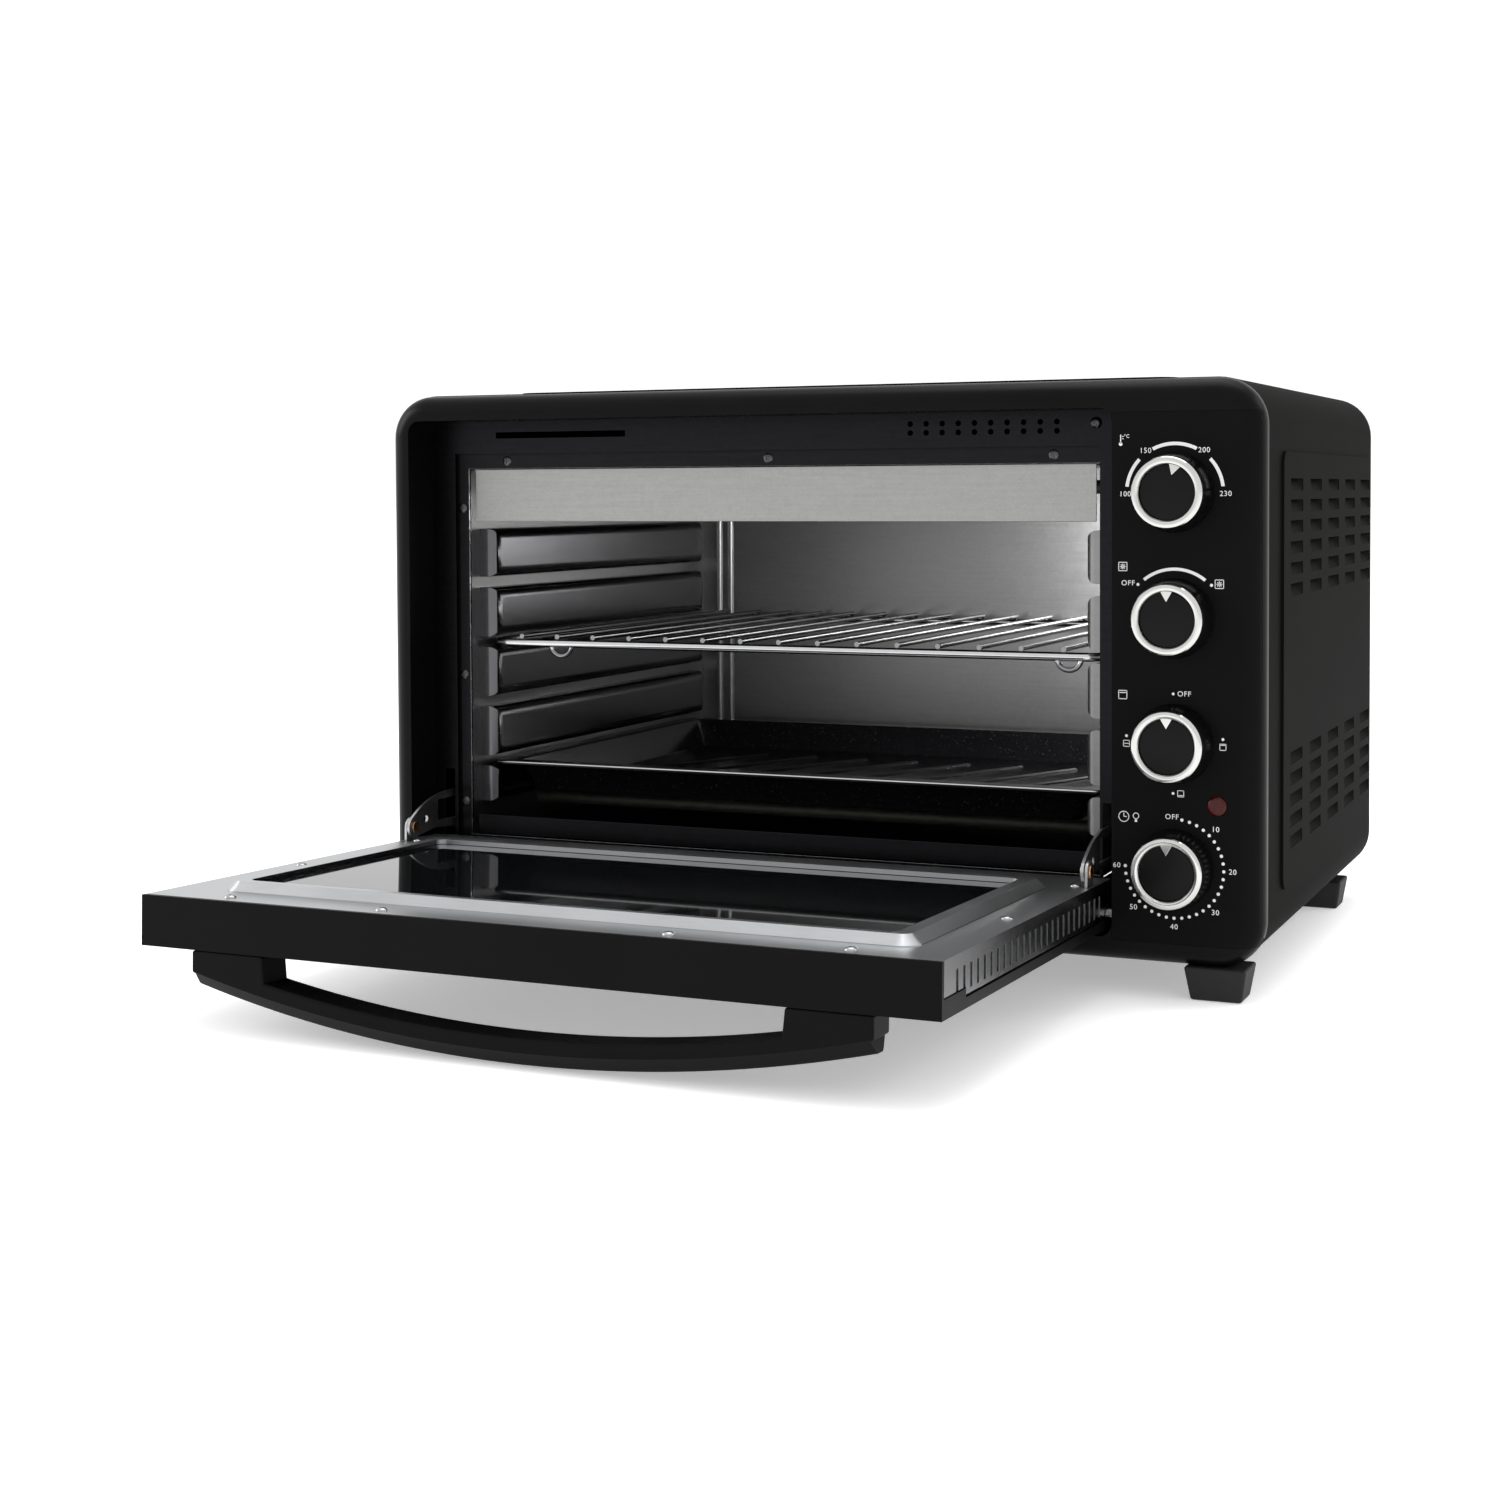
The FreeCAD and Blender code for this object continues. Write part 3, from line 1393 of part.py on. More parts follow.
def make_baking_tray():
    """A pressed enamel tray hung from its rolled rim."""
    left, right = shelf_span()
    front, back = FRONT + D["shelf_front"], FRONT + D["tray_back"]
    rim_z = guide_levels()[3] - D["guide_gap"] / 2 + 0.3
    top = rim_z + D["tray_rim"]
    rim = box((left, right), (front, back), (rim_z, top))
    rim = rounded(rim, 9, upright_edges)
    well = well_block(left + 12.6, right - 12.6, front + 9, back - 9, rim_z - D["tray_drop"], top, 8)
    inside = well_block(
        left + 13.8, right - 13.8, front + 10.2, back - 10.2, rim_z - D["tray_drop"] + 1.2, top + 1, 8
    )
    node("baking_tray", cut(fuse(rim, well), inside))


def well_block(left, right, front, back, floor, top, slope):
    """A block whose sides lean in towards its floor, with rounded corners."""
    block = doc.addObject("Part::Wedge", counted("well"))
    width, depth = right - left, back - front
    bind(block, "Ymax", top - floor)
    bind(block, "X2max", width)
    bind(block, "Z2max", depth)
    block.Xmin = block.Zmin = slope
    bind(block, "Xmax", width - slope)
    bind(block, "Zmax", depth - slope)
    block.X2min = block.Z2min = 0
    block.Ymin = 0
    block.Placement = Placement(Vector(), Rotation(Vector(1, 0, 0), 90))
    bind(block, "Placement.Base.x", left)
    bind(block, "Placement.Base.y", back)
    bind(block, "Placement.Base.z", floor)

    def leaning(edge):
        return edge.BoundBox.ZLength > 5

    return rounded(block, 8, leaning)


# ---------------------------------------------------------------- run


def write_nodes():
    """Checks every object, then writes one STEP file for each sub-part."""
    doc.recompute()
    for thing in doc.Objects:
        bad = [state for state in thing.State if state in ("Invalid", "Error")]
        if bad:
            raise RuntimeError("%s (%s) is %s" % (thing.Name, thing.Label, bad))
    for label, thing in NODES.items():
        shape = thing.Shape
        if shape.isNull() or not shape.isValid() or not shape.Solids:
            raise RuntimeError(label + " has no valid solid")
        shape.exportStep("parts/%s.step" % label)
        box_of = shape.optimalBoundingBox()
        print(
            "%-20s solids %3d  volume %9.0f  x %7.1f %7.1f  y %7.1f %7.1f  z %7.1f %7.1f"
            % (label, len(shape.Solids), shape.Volume, box_of.XMin, box_of.XMax,
               box_of.YMin, box_of.YMax, box_of.ZMin, box_of.ZMax)
        )
    print(len(NODES), "sub-parts")


def build():
    make_cabinet_shell()
    make_back_panel()
    make_cord_gland()
    make_base_plate()
    make_feet()
    make_case_screws()
    make_fascia_ring()
    make_control_panel()
    make_indicator_lens()
    make_front_plate()
    make_cavity_walls()
    make_cavity_sheets()
    make_deflectors()
    make_heaters()
    make_cavity_screws()
    make_control_bracket()
    make_controls()
    for name, z in zip(KNOB_NAMES, KNOB_ROWS):
        make_knob(name, z)
    make_fan()
    make_fan_blade()
    make_lamp()
    make_door_frame()
    make_door_liner()
    make_door_glass()
    make_glass_seal()
    make_handle()
    make_door_fasteners()
    make_arm_brackets()
    make_hinge_rivets()
    make_arm("arm_left", -1)
    make_arm("arm_right", 1)
    make_arm_springs()
    make_hinge_pins()
    make_rack()
    make_baking_tray()


build()
write_nodes()
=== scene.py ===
import json
import math

import bpy
from mathutils import Matrix, Vector

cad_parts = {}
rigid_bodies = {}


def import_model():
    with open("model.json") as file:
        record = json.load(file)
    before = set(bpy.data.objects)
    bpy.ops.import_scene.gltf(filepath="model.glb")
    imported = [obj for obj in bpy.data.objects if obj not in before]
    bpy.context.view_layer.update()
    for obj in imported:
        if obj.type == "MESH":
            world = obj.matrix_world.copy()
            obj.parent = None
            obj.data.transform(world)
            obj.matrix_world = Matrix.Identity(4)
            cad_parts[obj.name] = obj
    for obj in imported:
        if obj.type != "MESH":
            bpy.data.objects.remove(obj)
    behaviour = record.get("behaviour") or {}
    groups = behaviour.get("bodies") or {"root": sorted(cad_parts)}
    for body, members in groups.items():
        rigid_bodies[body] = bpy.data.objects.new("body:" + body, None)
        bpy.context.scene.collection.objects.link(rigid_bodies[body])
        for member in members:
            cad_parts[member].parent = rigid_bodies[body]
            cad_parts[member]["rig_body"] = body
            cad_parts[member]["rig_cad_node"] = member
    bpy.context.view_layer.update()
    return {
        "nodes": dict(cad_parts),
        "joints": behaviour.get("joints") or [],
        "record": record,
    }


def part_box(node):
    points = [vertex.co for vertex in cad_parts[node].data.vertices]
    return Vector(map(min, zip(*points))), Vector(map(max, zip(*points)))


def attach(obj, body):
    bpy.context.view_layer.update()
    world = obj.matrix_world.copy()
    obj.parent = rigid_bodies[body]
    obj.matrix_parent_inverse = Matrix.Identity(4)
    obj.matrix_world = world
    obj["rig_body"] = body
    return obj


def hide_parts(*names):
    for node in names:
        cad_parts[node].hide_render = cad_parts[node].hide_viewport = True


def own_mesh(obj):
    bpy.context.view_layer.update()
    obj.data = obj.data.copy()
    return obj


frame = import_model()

# A countertop oven with its door open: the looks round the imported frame.
# Metres; +X to the right of a person facing the oven, the front faces -Y, +Z up.

MM = 0.001
nodes = frame["nodes"]
joints = {joint["name"]: joint for joint in frame["joints"]}
KNOBS = ("temperature", "fan", "mode", "timer")

# ---------------------------------------------------------------- finishes


class Value:
    """A shader socket that takes part in sums and products."""

    def __init__(self, finish, socket):
        self.finish = finish
        self.socket = socket

    def combine(self, operation, first, second):
        return self.finish.add("ShaderNodeMath", {"operation": operation}, {0: first, 1: second})

    def __add__(self, other):
        return self.combine("ADD", self, other)

    def __mul__(self, other):
        return self.combine("MULTIPLY", self, other)

    def __radd__(self, other):
        return self.combine("ADD", other, self)

    def __rmul__(self, other):
        return self.combine("MULTIPLY", other, self)


class Finish:
    """One material: a Principled shader and the nodes that feed it."""

    def __init__(self, name, **constants):
        self.material = bpy.data.materials.new(name)
        self.material.use_nodes = True
        self.tree = self.material.node_tree
        self.shader = self.tree.nodes["Principled BSDF"]
        for key, value in constants.items():
            self.shader.inputs[key.replace("_", " ")].default_value = value
        self.place = self.add("ShaderNodeTexCoord", out="Object")

    def add(self, kind, settings=None, values=None, out=0):
        """Adds a node: its settings first, then its sockets' values or links."""
        node = self.tree.nodes.new(kind)
        for key, value in (settings or {}).items():
            if key == "stops":
                set_stops(node.color_ramp, value)
            else:
                setattr(node, key, value)
        for key, value in (values or {}).items():
            if isinstance(value, Value):
                self.tree.links.new(value.socket, node.inputs[key])
            else:
                node.inputs[key].default_value = value
        return Value(self, node.outputs[out])

    def feed(self, **links):
        for key, value in links.items():
            self.tree.links.new(value.socket, self.shader.inputs[key.replace("_", " ")])

    def noise(self, size, detail=2.0, stretch=(1, 1, 1), rough=0.5):
        """Cloudy values from 0 to 1, whose features are about size across."""
        scaled = self.add("ShaderNodeMapping", None, {"Vector": self.place, "Scale": stretch})
        return self.add(
            "ShaderNodeTexNoise",
            None,
            {"Vector": scaled, "Scale": 1 / size, "Detail": detail, "Roughness": rough},
        )

    def spread(self, value, low, high):
        """A 0 to 1 value laid over a range of numbers."""
        return value * (high - low) + low

    def ramp(self, value, stops):
        return self.add("ShaderNodeValToRGB", {"stops": stops}, {"Fac": value})

    def tint(self, amount, first, second):
        """A colour between two colours."""
        return self.add(
            "ShaderNodeMix",
            {"data_type": "RGBA"},
            {0: amount, 6: (*first, 1), 7: (*second, 1)},
            out=2,
        )

    def bump(self, height, strength, distance):
        relief = self.add(
            "ShaderNodeBump",
            None,
            {"Height": height, "Strength": strength, "Distance": distance},
        )
        self.feed(Normal=relief)


def set_stops(ramp, stops):
    while len(ramp.elements) < len(stops):
        ramp.elements.new(0.5)
    for element, (position, shade) in zip(ramp.elements, stops):
        element.position = position
        element.color = (shade, shade, shade, 1)


DEEP_BLACK = (0.002, 0.002, 0.002)
SOFT_BLACK = (0.004, 0.004, 0.004)


def moulded_plastic(name, rough, grain, specular):
    """Black moulded plastic with a fine spark-eroded grain and faint wiping marks."""
    finish = Finish(name, Specular_IOR_Level=specular)
    cloud = finish.noise(60 * MM, 3)
    pores = finish.noise(grain, 2)
    finish.feed(
        Base_Color=finish.tint(cloud, DEEP_BLACK, SOFT_BLACK),
        Roughness=finish.spread(cloud * 0.6 + pores * 0.4, rough - 0.06, rough + 0.08),
    )
    finish.bump(pores, 0.12, grain * 0.12)
    return finish.material


def powder_coat():
    """Fine orange-peel powder coat, a warm black."""
    finish = Finish("powder_coat", Specular_IOR_Level=0.005)
    peel = finish.noise(0.9 * MM, 2)
    cloud = finish.noise(90 * MM, 2)
    mixed = cloud * 0.7 + peel * 0.3
    finish.feed(
        Base_Color=finish.tint(mixed, (0.004, 0.0037, 0.0034), (0.008, 0.0074, 0.0068)),
        Roughness=finish.spread(peel, 0.46, 0.62),
    )
    finish.bump(peel, 0.3, 0.12 * MM)
    return finish.material


def satin_sheet():
    """Satin sheet metal with a faint grain drawn along its length."""
    finish = Finish("satin_sheet", Metallic=1.0)
    grain = finish.noise(0.5 * MM, 3, (0.04, 1, 1))
    cloud = finish.noise(45 * MM, 2)
    finish.feed(
        Base_Color=finish.tint(grain * 0.5 + cloud * 0.5, (0.36, 0.37, 0.38), (0.50, 0.51, 0.52)),
        Roughness=finish.spread(grain * 0.5 + cloud * 0.5, 0.24, 0.42),
    )
    finish.bump(grain, 0.08, 0.05 * MM)
    return finish.material


def galvanised(name, dark, light, rough, tooth_depth=0.15):
    """Zinc-coated sheet: small spangles, a fine tooth and long rolling marks."""
    finish = Finish(name, Metallic=1.0)
    spangle = finish.add(
        "ShaderNodeTexVoronoi",
        {"feature": "F1"},
        {"Vector": finish.place, "Scale": 1 / (3.2 * MM)},
        out="Color",
    )
    flake = finish.add("ShaderNodeSeparateColor", None, {"Color": spangle})
    tooth = finish.noise(0.8 * MM, 3)
    rolled = finish.noise(2 * MM, 2, (0.05, 1, 1))
    mixed = flake * 0.10 + tooth * 0.5 + rolled * 0.4
    finish.feed(
        Base_Color=finish.tint(mixed, dark, light),
        Roughness=finish.spread(mixed, rough - 0.07, rough + 0.09),
    )
    finish.bump(tooth, tooth_depth, 0.06 * MM)
    return finish.material


def enamel():
    """Black vitreous enamel with a scatter of pale pinpoint flecks."""
    finish = Finish("black_enamel", Specular_IOR_Level=0.22, Coat_Weight=0.06, Coat_Roughness=0.08)
    fleck = finish.noise(0.9 * MM, 1)
    dots = finish.ramp(fleck, [(0.70, 0.0), (0.76, 1.0)])
    wave = finish.noise(9 * MM, 2)
    finish.feed(
        Base_Color=finish.tint(dots, (0.003, 0.003, 0.0035), (0.05, 0.05, 0.05)),
        Roughness=finish.spread(wave, 0.14, 0.24),
    )
    finish.bump(wave, 0.08, 0.3 * MM)
    return finish.material


def plated(name, colour, rough, specks=0.05):
    """Bright plating over steel, a little uneven."""
    finish = Finish(name, Metallic=1.0)
    cloud = finish.noise(7 * MM, 3)
    darker = tuple(channel * 0.86 for channel in colour)
    finish.feed(
        Base_Color=finish.tint(cloud, darker, colour),
        Roughness=finish.spread(cloud, rough, rough + specks),
    )
    return finish.material


def oxidised_tube():
    """The heating tubes' dull green-grey oxide, scaled in bands."""
    finish = Finish("oxidised_tube", Metallic=0.7)
    scale = finish.noise(2.5 * MM, 4, (0.3, 1, 1))
    finish.feed(
        Base_Color=finish.tint(scale, (0.05, 0.052, 0.045), (0.13, 0.125, 0.11)),
        Roughness=finish.spread(scale, 0.45, 0.7),
    )
    finish.bump(scale, 0.2, 0.1 * MM)
    return finish.material


def tinted_glass():
    """The door's dark pane: almost black in the mass, mirror smooth, faintly wavy."""
    finish = Finish("tinted_glass", Transmission_Weight=0.15, IOR=1.5, Specular_IOR_Level=0.55)
    wave = finish.noise(70 * MM, 1)
    finish.feed(
        Base_Color=finish.tint(wave, (0.004, 0.0045, 0.005), (0.007, 0.0075, 0.008)),
        Roughness=finish.spread(wave, 0.02, 0.035),
    )
    return finish.material


def clear_glass():
    """The lamp's cover and bulb, with the fine ripple of pressed glass."""
    finish = Finish("lamp_glass", Transmission_Weight=0.9, IOR=1.48)
    ripple = finish.noise(4 * MM, 2)
    finish.feed(
        Base_Color=finish.tint(ripple, (0.86, 0.85, 0.80), (0.95, 0.94, 0.90)),
        Roughness=finish.spread(ripple, 0.04, 0.12),
    )
    finish.bump(ripple, 0.1, 0.2 * MM)
    return finish.material


def woven_seal():
    """Plaited glass fibre round the pane."""
    finish = Finish("woven_seal", Specular_IOR_Level=0.2)
    warp = finish.add(
        "ShaderNodeTexWave",
        {"wave_type": "BANDS", "bands_direction": "DIAGONAL"},
        {"Vector": finish.place, "Scale": 400.0, "Distortion": 1.5},
        out="Fac",
    )
    finish.feed(
        Base_Color=finish.tint(warp, (0.09, 0.085, 0.075), (0.34, 0.32, 0.28)),
        Roughness=finish.spread(warp, 0.7, 0.9),
    )
    finish.bump(warp, 0.6, 0.4 * MM)
    return finish.material


def matt(name, dark, light, rough, size=2 * MM, specular=0.3):
    """A plain matt surface with a slight mottle: rubber, ceramic, housings, ink."""
    finish = Finish(name, Specular_IOR_Level=specular)
    mottle = finish.noise(size, 3)
    finish.feed(
        Base_Color=finish.tint(mottle, dark, light),
        Roughness=finish.spread(mottle, rough - 0.08, rough + 0.08),
    )
    finish.bump(mottle, 0.1, size * 0.05)
    return finish.material


def pilot_red():
    """The pilot lamp's dark red lens, with the faceting of its back."""
    finish = Finish(
        "pilot_red", Coat_Weight=0.1, Coat_Roughness=0.05, Roughness=0.25, Specular_IOR_Level=0.2
    )
    facet = finish.add(
        "ShaderNodeTexVoronoi",
        {"feature": "F1"},
        {"Vector": finish.place, "Scale": 1 / (1.6 * MM)},
        out="Distance",
    )
    finish.feed(Base_Color=finish.tint(facet, (0.022, 0.001, 0.001), (0.07, 0.002, 0.002)))
    finish.bump(facet, 0.3, 0.2 * MM)
    return finish.material


CASING = powder_coat()
RING = moulded_plastic("ring_plastic", 0.30, 0.5 * MM, 0.07)
PANEL = moulded_plastic("panel_plastic", 0.40, 0.4 * MM, 0.05)
DOOR = moulded_plastic("door_plastic", 0.42, 0.6 * MM, 0.06)
KNOB = moulded_plastic("knob_plastic", 0.24, 0.5 * MM, 0.12)
SATIN = satin_sheet()
ZINC = galvanised("zinc_sheet", (0.22, 0.22, 0.215), (0.38, 0.38, 0.375), 0.38)
REAR_ZINC = galvanised("rear_zinc", (0.17, 0.17, 0.17), (0.27, 0.27, 0.268), 0.36, 0.08)
# A darker copy of the cavity's zinc: painted shade on the left cavity wall and its ribs and on the door
# liner's side walls.
SHADED_ZINC = galvanised("shaded_zinc", (0.085, 0.085, 0.09), (0.13, 0.13, 0.135), 0.22, 0.02)
# A near-black sheet for the front plate, the cavity's top and floor and the lower deflector; on the door
# liner's downward faces it is painted shade.
BLACK_SHEET_AND_SHADE = galvanised("black_sheet_and_shade", (0.008, 0.008, 0.009), (0.020, 0.020, 0.022), 0.34)
ENAMEL = enamel()
CHROME = plated("bright_chrome", (0.62, 0.615, 0.60), 0.10)
# A darker copy of the rail chrome: painted shade and painted dark reflection on the rack's wires and the
# frame's lower faces.
SHADED_WIRE_CHROME = plated("shaded_wire_chrome", (0.24, 0.24, 0.245), 0.14)
# Plated chrome for the rack's frame; the same material also paints a highlight along the baking tray's
# front rim.
RAIL_CHROME_AND_HIGHLIGHT = plated("rail_chrome_and_highlight", (0.60, 0.60, 0.61), 0.10)
SCREW = plated("zinc_screw", (0.42, 0.42, 0.42), 0.22, 0.1)
DARK_SCREW = plated("blackened_screw", (0.08, 0.08, 0.08), 0.26, 0.1)
RIVET = plated("copper_rivet", (0.62, 0.36, 0.20), 0.22, 0.1)
TUBE = oxidised_tube()
PANE = tinted_glass()
BULB = clear_glass()
SEAL = woven_seal()
RUBBER = matt("foot_rubber", (0.006, 0.006, 0.006), (0.014, 0.014, 0.014), 0.66)
CERAMIC = matt("ceramic_end", (0.55, 0.53, 0.48), (0.74, 0.72, 0.66), 0.55, 1 * MM)
HOUSING = matt("switch_housing", (0.035, 0.034, 0.032), (0.06, 0.058, 0.055), 0.5)
INK = matt("white_ink", (0.70, 0.70, 0.69), (0.86, 0.86, 0.85), 0.45, 1 * MM)
LENS = pilot_red()

# ---------------------------------------------------------------- making


def select_nothing():
    if bpy.context.object and bpy.context.object.mode != "OBJECT":
        bpy.ops.object.mode_set(mode="OBJECT")
    bpy.ops.object.select_all(action="DESELECT")


def select_only(*pieces):
    select_nothing()
    for piece in pieces:
        piece.select_set(True)
    bpy.context.view_layer.objects.active = pieces[0]


def apply_place(piece):
    select_only(piece)
    bpy.ops.object.transform_apply(location=True, rotation=True, scale=True)


def block(low, high):
    """A cube primitive stretched between two corners."""
    low, high = Vector(low), Vector(high)
    select_nothing()
    bpy.ops.mesh.primitive_cube_add(size=1, location=(low + high) / 2)
    piece = bpy.context.object
    piece.scale = high - low
    apply_place(piece)
    return piece


TURNS = {"x": (0, math.pi / 2, 0), "y": (math.pi / 2, 0, 0), "z": (0, 0, 0)}


def rod(axis, centre, length, radius, sides=32):
    select_nothing()
    bpy.ops.mesh.primitive_cylinder_add(
        vertices=sides, radius=radius, depth=length, location=centre, rotation=TURNS[axis]
    )
    piece = bpy.context.object
    apply_place(piece)
    return piece


def disc(centre, radius, sides=24):
    """A flat round face that looks forward."""
    select_nothing()
    bpy.ops.mesh.primitive_circle_add(
        vertices=sides, radius=radius, fill_type="NGON", location=centre, rotation=TURNS["y"]
    )
    piece = bpy.context.object
    apply_place(piece)
    return piece


def open_edit(piece, kind):
    select_only(piece)
    bpy.ops.object.mode_set(mode="EDIT")
    bpy.ops.mesh.select_mode(type=kind)


def pick_edges(piece, wanted):
    """Opens the piece for editing with the edges selected whose middle passes the test."""
    open_edit(piece, "EDGE")
    bpy.ops.mesh.select_all(action="DESELECT")
    bpy.ops.object.mode_set(mode="OBJECT")
    points = piece.data.vertices
    for edge in piece.data.edges:
        first, second = (points[i].co for i in edge.vertices)
        edge.select = wanted((first + second) / 2)
    bpy.ops.object.mode_set(mode="EDIT")


def close_edit():
    bpy.ops.object.mode_set(mode="OBJECT")


def bevel_picked(width, segments):
    bpy.ops.mesh.bevel(offset=width, segments=segments, affect="EDGES")
    close_edit()


def trace(points, closed=False):
    """A line through the points, drawn by extruding one vertex."""
    select_nothing()
    bpy.ops.mesh.primitive_plane_add(size=MM, location=points[0])
    piece = bpy.context.object
    apply_place(piece)
    open_edit(piece, "VERT")
    bpy.ops.mesh.select_all(action="SELECT")
    bpy.ops.mesh.merge(type="CENTER")
    for here, there in zip(points, points[1:]):
        step = Vector(there) - Vector(here)
        bpy.ops.mesh.extrude_region_move(TRANSFORM_OT_translate={"value": step})
    if closed:
        bpy.ops.mesh.select_all(action="SELECT")
        bpy.ops.mesh.edge_face_add()
    close_edit()
    return piece


def tidy_mesh(piece):
    """Merges doubled points and turns every face outwards."""
    open_edit(piece, "VERT")
    bpy.ops.mesh.select_all(action="SELECT")
    bpy.ops.mesh.remove_doubles(threshold=0.002 * MM)
    bpy.ops.mesh.normals_make_consistent(inside=False)
    close_edit()


def turned(profile, centre, axis, steps=64):
    """A profile spun a full turn about an axis through the centre."""
    piece = trace(profile)
    open_edit(piece, "VERT")
    bpy.ops.mesh.select_all(action="SELECT")
    bpy.ops.mesh.spin(steps=steps, angle=math.tau, center=centre, axis=axis)
    close_edit()
    tidy_mesh(piece)
    return piece


def plate(points, thickness):
    """A closed outline extruded by a vector."""
    piece = trace(points, closed=True)
    open_edit(piece, "FACE")
    bpy.ops.mesh.select_all(action="SELECT")
    bpy.ops.mesh.extrude_region_move(TRANSFORM_OT_translate={"value": thickness})
    close_edit()
    tidy_mesh(piece)
    return piece


def soften(piece, width, segments=2, angle=35):
    """Bevels every sharp edge with a modifier and applies it."""
    select_only(piece)
    bevel = piece.modifiers.new("edges", "BEVEL")
    bevel.width = width
    bevel.segments = segments
    bevel.limit_method = "ANGLE"
    bevel.angle_limit = math.radians(angle)
    bpy.ops.object.modifier_apply(modifier=bevel.name)
    return piece


def copied(piece, shift):
    """A copy with a mesh of its own, moved by a vector."""
    other = piece.copy()
    other.data = piece.data.copy()
    bpy.context.scene.collection.objects.link(other)
    other.data.transform(Matrix.Translation(shift))
    return other


def joined(pieces):
    select_only(*pieces)
    if len(pieces) > 1:
        bpy.ops.object.join()
    return bpy.context.object


def finish_as(piece, name, body, material, replaces=(), smooth=32):
    """Names a finished piece, gives it its material and makes it ride on its body."""
    piece.name = name
    piece.data.name = name
    piece.data.materials.clear()
    piece.data.materials.append(material)
    select_only(piece)
    bpy.ops.object.shade_smooth_by_angle(angle=math.radians(smooth))
    flat = piece.modifiers.new("flat", "WEIGHTED_NORMAL")
    flat.keep_sharp = True
    bpy.ops.object.modifier_apply(modifier=flat.name)
    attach(piece, body)
    if replaces:
        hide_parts(*replaces)
    return piece


def body_of(node):
    return nodes[node]["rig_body"]


def refined(node, material, width, segments=2, angle=35):
    """A copy of a frame node with its edges broken, which stands for the node."""
    piece = nodes[node].copy()
    piece.data = nodes[node].data.copy()
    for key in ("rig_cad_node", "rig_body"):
        del piece[key]
    piece.parent = None
    bpy.context.scene.collection.objects.link(piece)
    open_edit(piece, "VERT")
    bpy.ops.mesh.select_all(action="SELECT")
    bpy.ops.mesh.remove_doubles(threshold=0.01 * MM)
    bpy.ops.mesh.dissolve_limited(angle_limit=math.radians(0.5))
    close_edit()
    if width:
        soften(piece, width, segments, angle)
    return finish_as(piece, node + "_finished", body_of(node), material, [node])


def repaint(node, material):
    """A frame node whose shape is right keeps it and gets its finish."""
    nodes[node].data.materials.clear()
    nodes[node].data.materials.append(material)


# The door is modelled closed and then swung open with this turn.
hinge = joints["door_hinge"]
HINGE = Vector(hinge["pos_m"])
OPEN = (
    Matrix.Translation(HINGE)
    @ Matrix.Rotation(math.radians(hinge["range_deg"][1]), 4, "X")
    @ Matrix.Translation(-HINGE)
)


def swing_open(piece):
    piece.data.transform(OPEN)
    return piece


# ---------------------------------------------------------------- casing


def casing():
    """The wrap, back and base, with their folded edges broken."""
    refined("cabinet_shell", CASING, 0.5 * MM)
    refined("back_panel", CASING, 0.4 * MM)
    refined("base_plate", CASING, 0.2 * MM, 1)
    refined("feet", RUBBER, 1.6 * MM, 3)
    refined("cord_gland", RUBBER, 0.4 * MM)


SLOT_LENGTH = 35 * MM
SLOT_HEIGHT = 6.5 * MM
SLOT_PITCH = 57.8 * MM
ROW_PITCH = 11.4 * MM
SLOTS_IN_ROW = 5
RING_DEPTH = 14 * MM


def louvre_scoop():
    """One pressed scoop: a shallow lens whose upper lip leans into the casing."""
    deep = 3.4 * MM
    select_nothing()
    bpy.ops.mesh.primitive_grid_add(x_subdivisions=8, y_subdivisions=3, size=1)
    scoop = bpy.context.object
    scoop.scale = (SLOT_LENGTH, SLOT_HEIGHT, 1)
    apply_place(scoop)
    for point in scoop.data.vertices:
        across = 1 - (2 * point.co.x / SLOT_LENGTH) ** 4
        up = point.co.y / SLOT_HEIGHT + 0.5
        point.co.z = -deep * across * up
    scoop.data.transform(Matrix.Rotation(math.pi / 2, 4, "X"))
    scoop.data.transform(Matrix.Rotation(math.pi / 2, 4, "Z"))
    return scoop


def louvres():
    """Two banks of scoops on each side, one behind every slot in the wrap."""
    low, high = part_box("cabinet_shell")
    first = louvre_scoop()
    scoops = []
    first_y = low.y - RING_DEPTH + 70.6 * MM + SLOT_LENGTH / 2
    x = high.x - 0.4 * MM
    upper_bank = (high.z - 62 * MM, 6)
    lower_bank = (low.z + 100 * MM, 5)
    for slot_bottom, rows in (upper_bank, lower_bank):
        for row in range(rows):
            z = slot_bottom - ROW_PITCH * row + SLOT_HEIGHT / 2
            for column in range(SLOTS_IN_ROW):
                scoops.append(copied(first, (x, first_y + SLOT_PITCH * column, z)))
    bpy.data.objects.remove(first)
    right = joined(scoops)
    left = copied(right, (0, 0, 0))
    left.data.transform(Matrix.Scale(-1, 4, (1, 0, 0)))
    for piece, name in ((right, "louvres_right"), (left, "louvres_left")):
        thicken(piece, 0.5 * MM)
        tidy_mesh(piece)
        finish_as(piece, name, "cabinet", CASING)


def thicken(piece, depth):
    select_only(piece)
    wall = piece.modifiers.new("wall", "SOLIDIFY")
    wall.thickness = depth
    bpy.ops.object.modifier_apply(modifier=wall.name)


def cross_screw(radius, height):
    """A pan-head screw that faces forward, with a cross recess, at the origin."""
    profile = [
        (0, -height, 0),
        (radius * 0.55, -height, 0),
        (radius * 0.9, -height * 0.6, 0),
        (radius, -height * 0.15, 0),
        (radius, 0, 0),
        (0, 0, 0),
    ]
    head = turned(profile, (0, 0, 0), (0, 1, 0), 20)
    long, narrow = radius * 0.5, radius * 0.12
    above, floor = -height * 1.2, -height * 0.45
    for half_x, half_z in ((long, narrow), (narrow, long)):
        carve(head, block((-half_x, above, -half_z), (half_x, floor, half_z)))
    return head


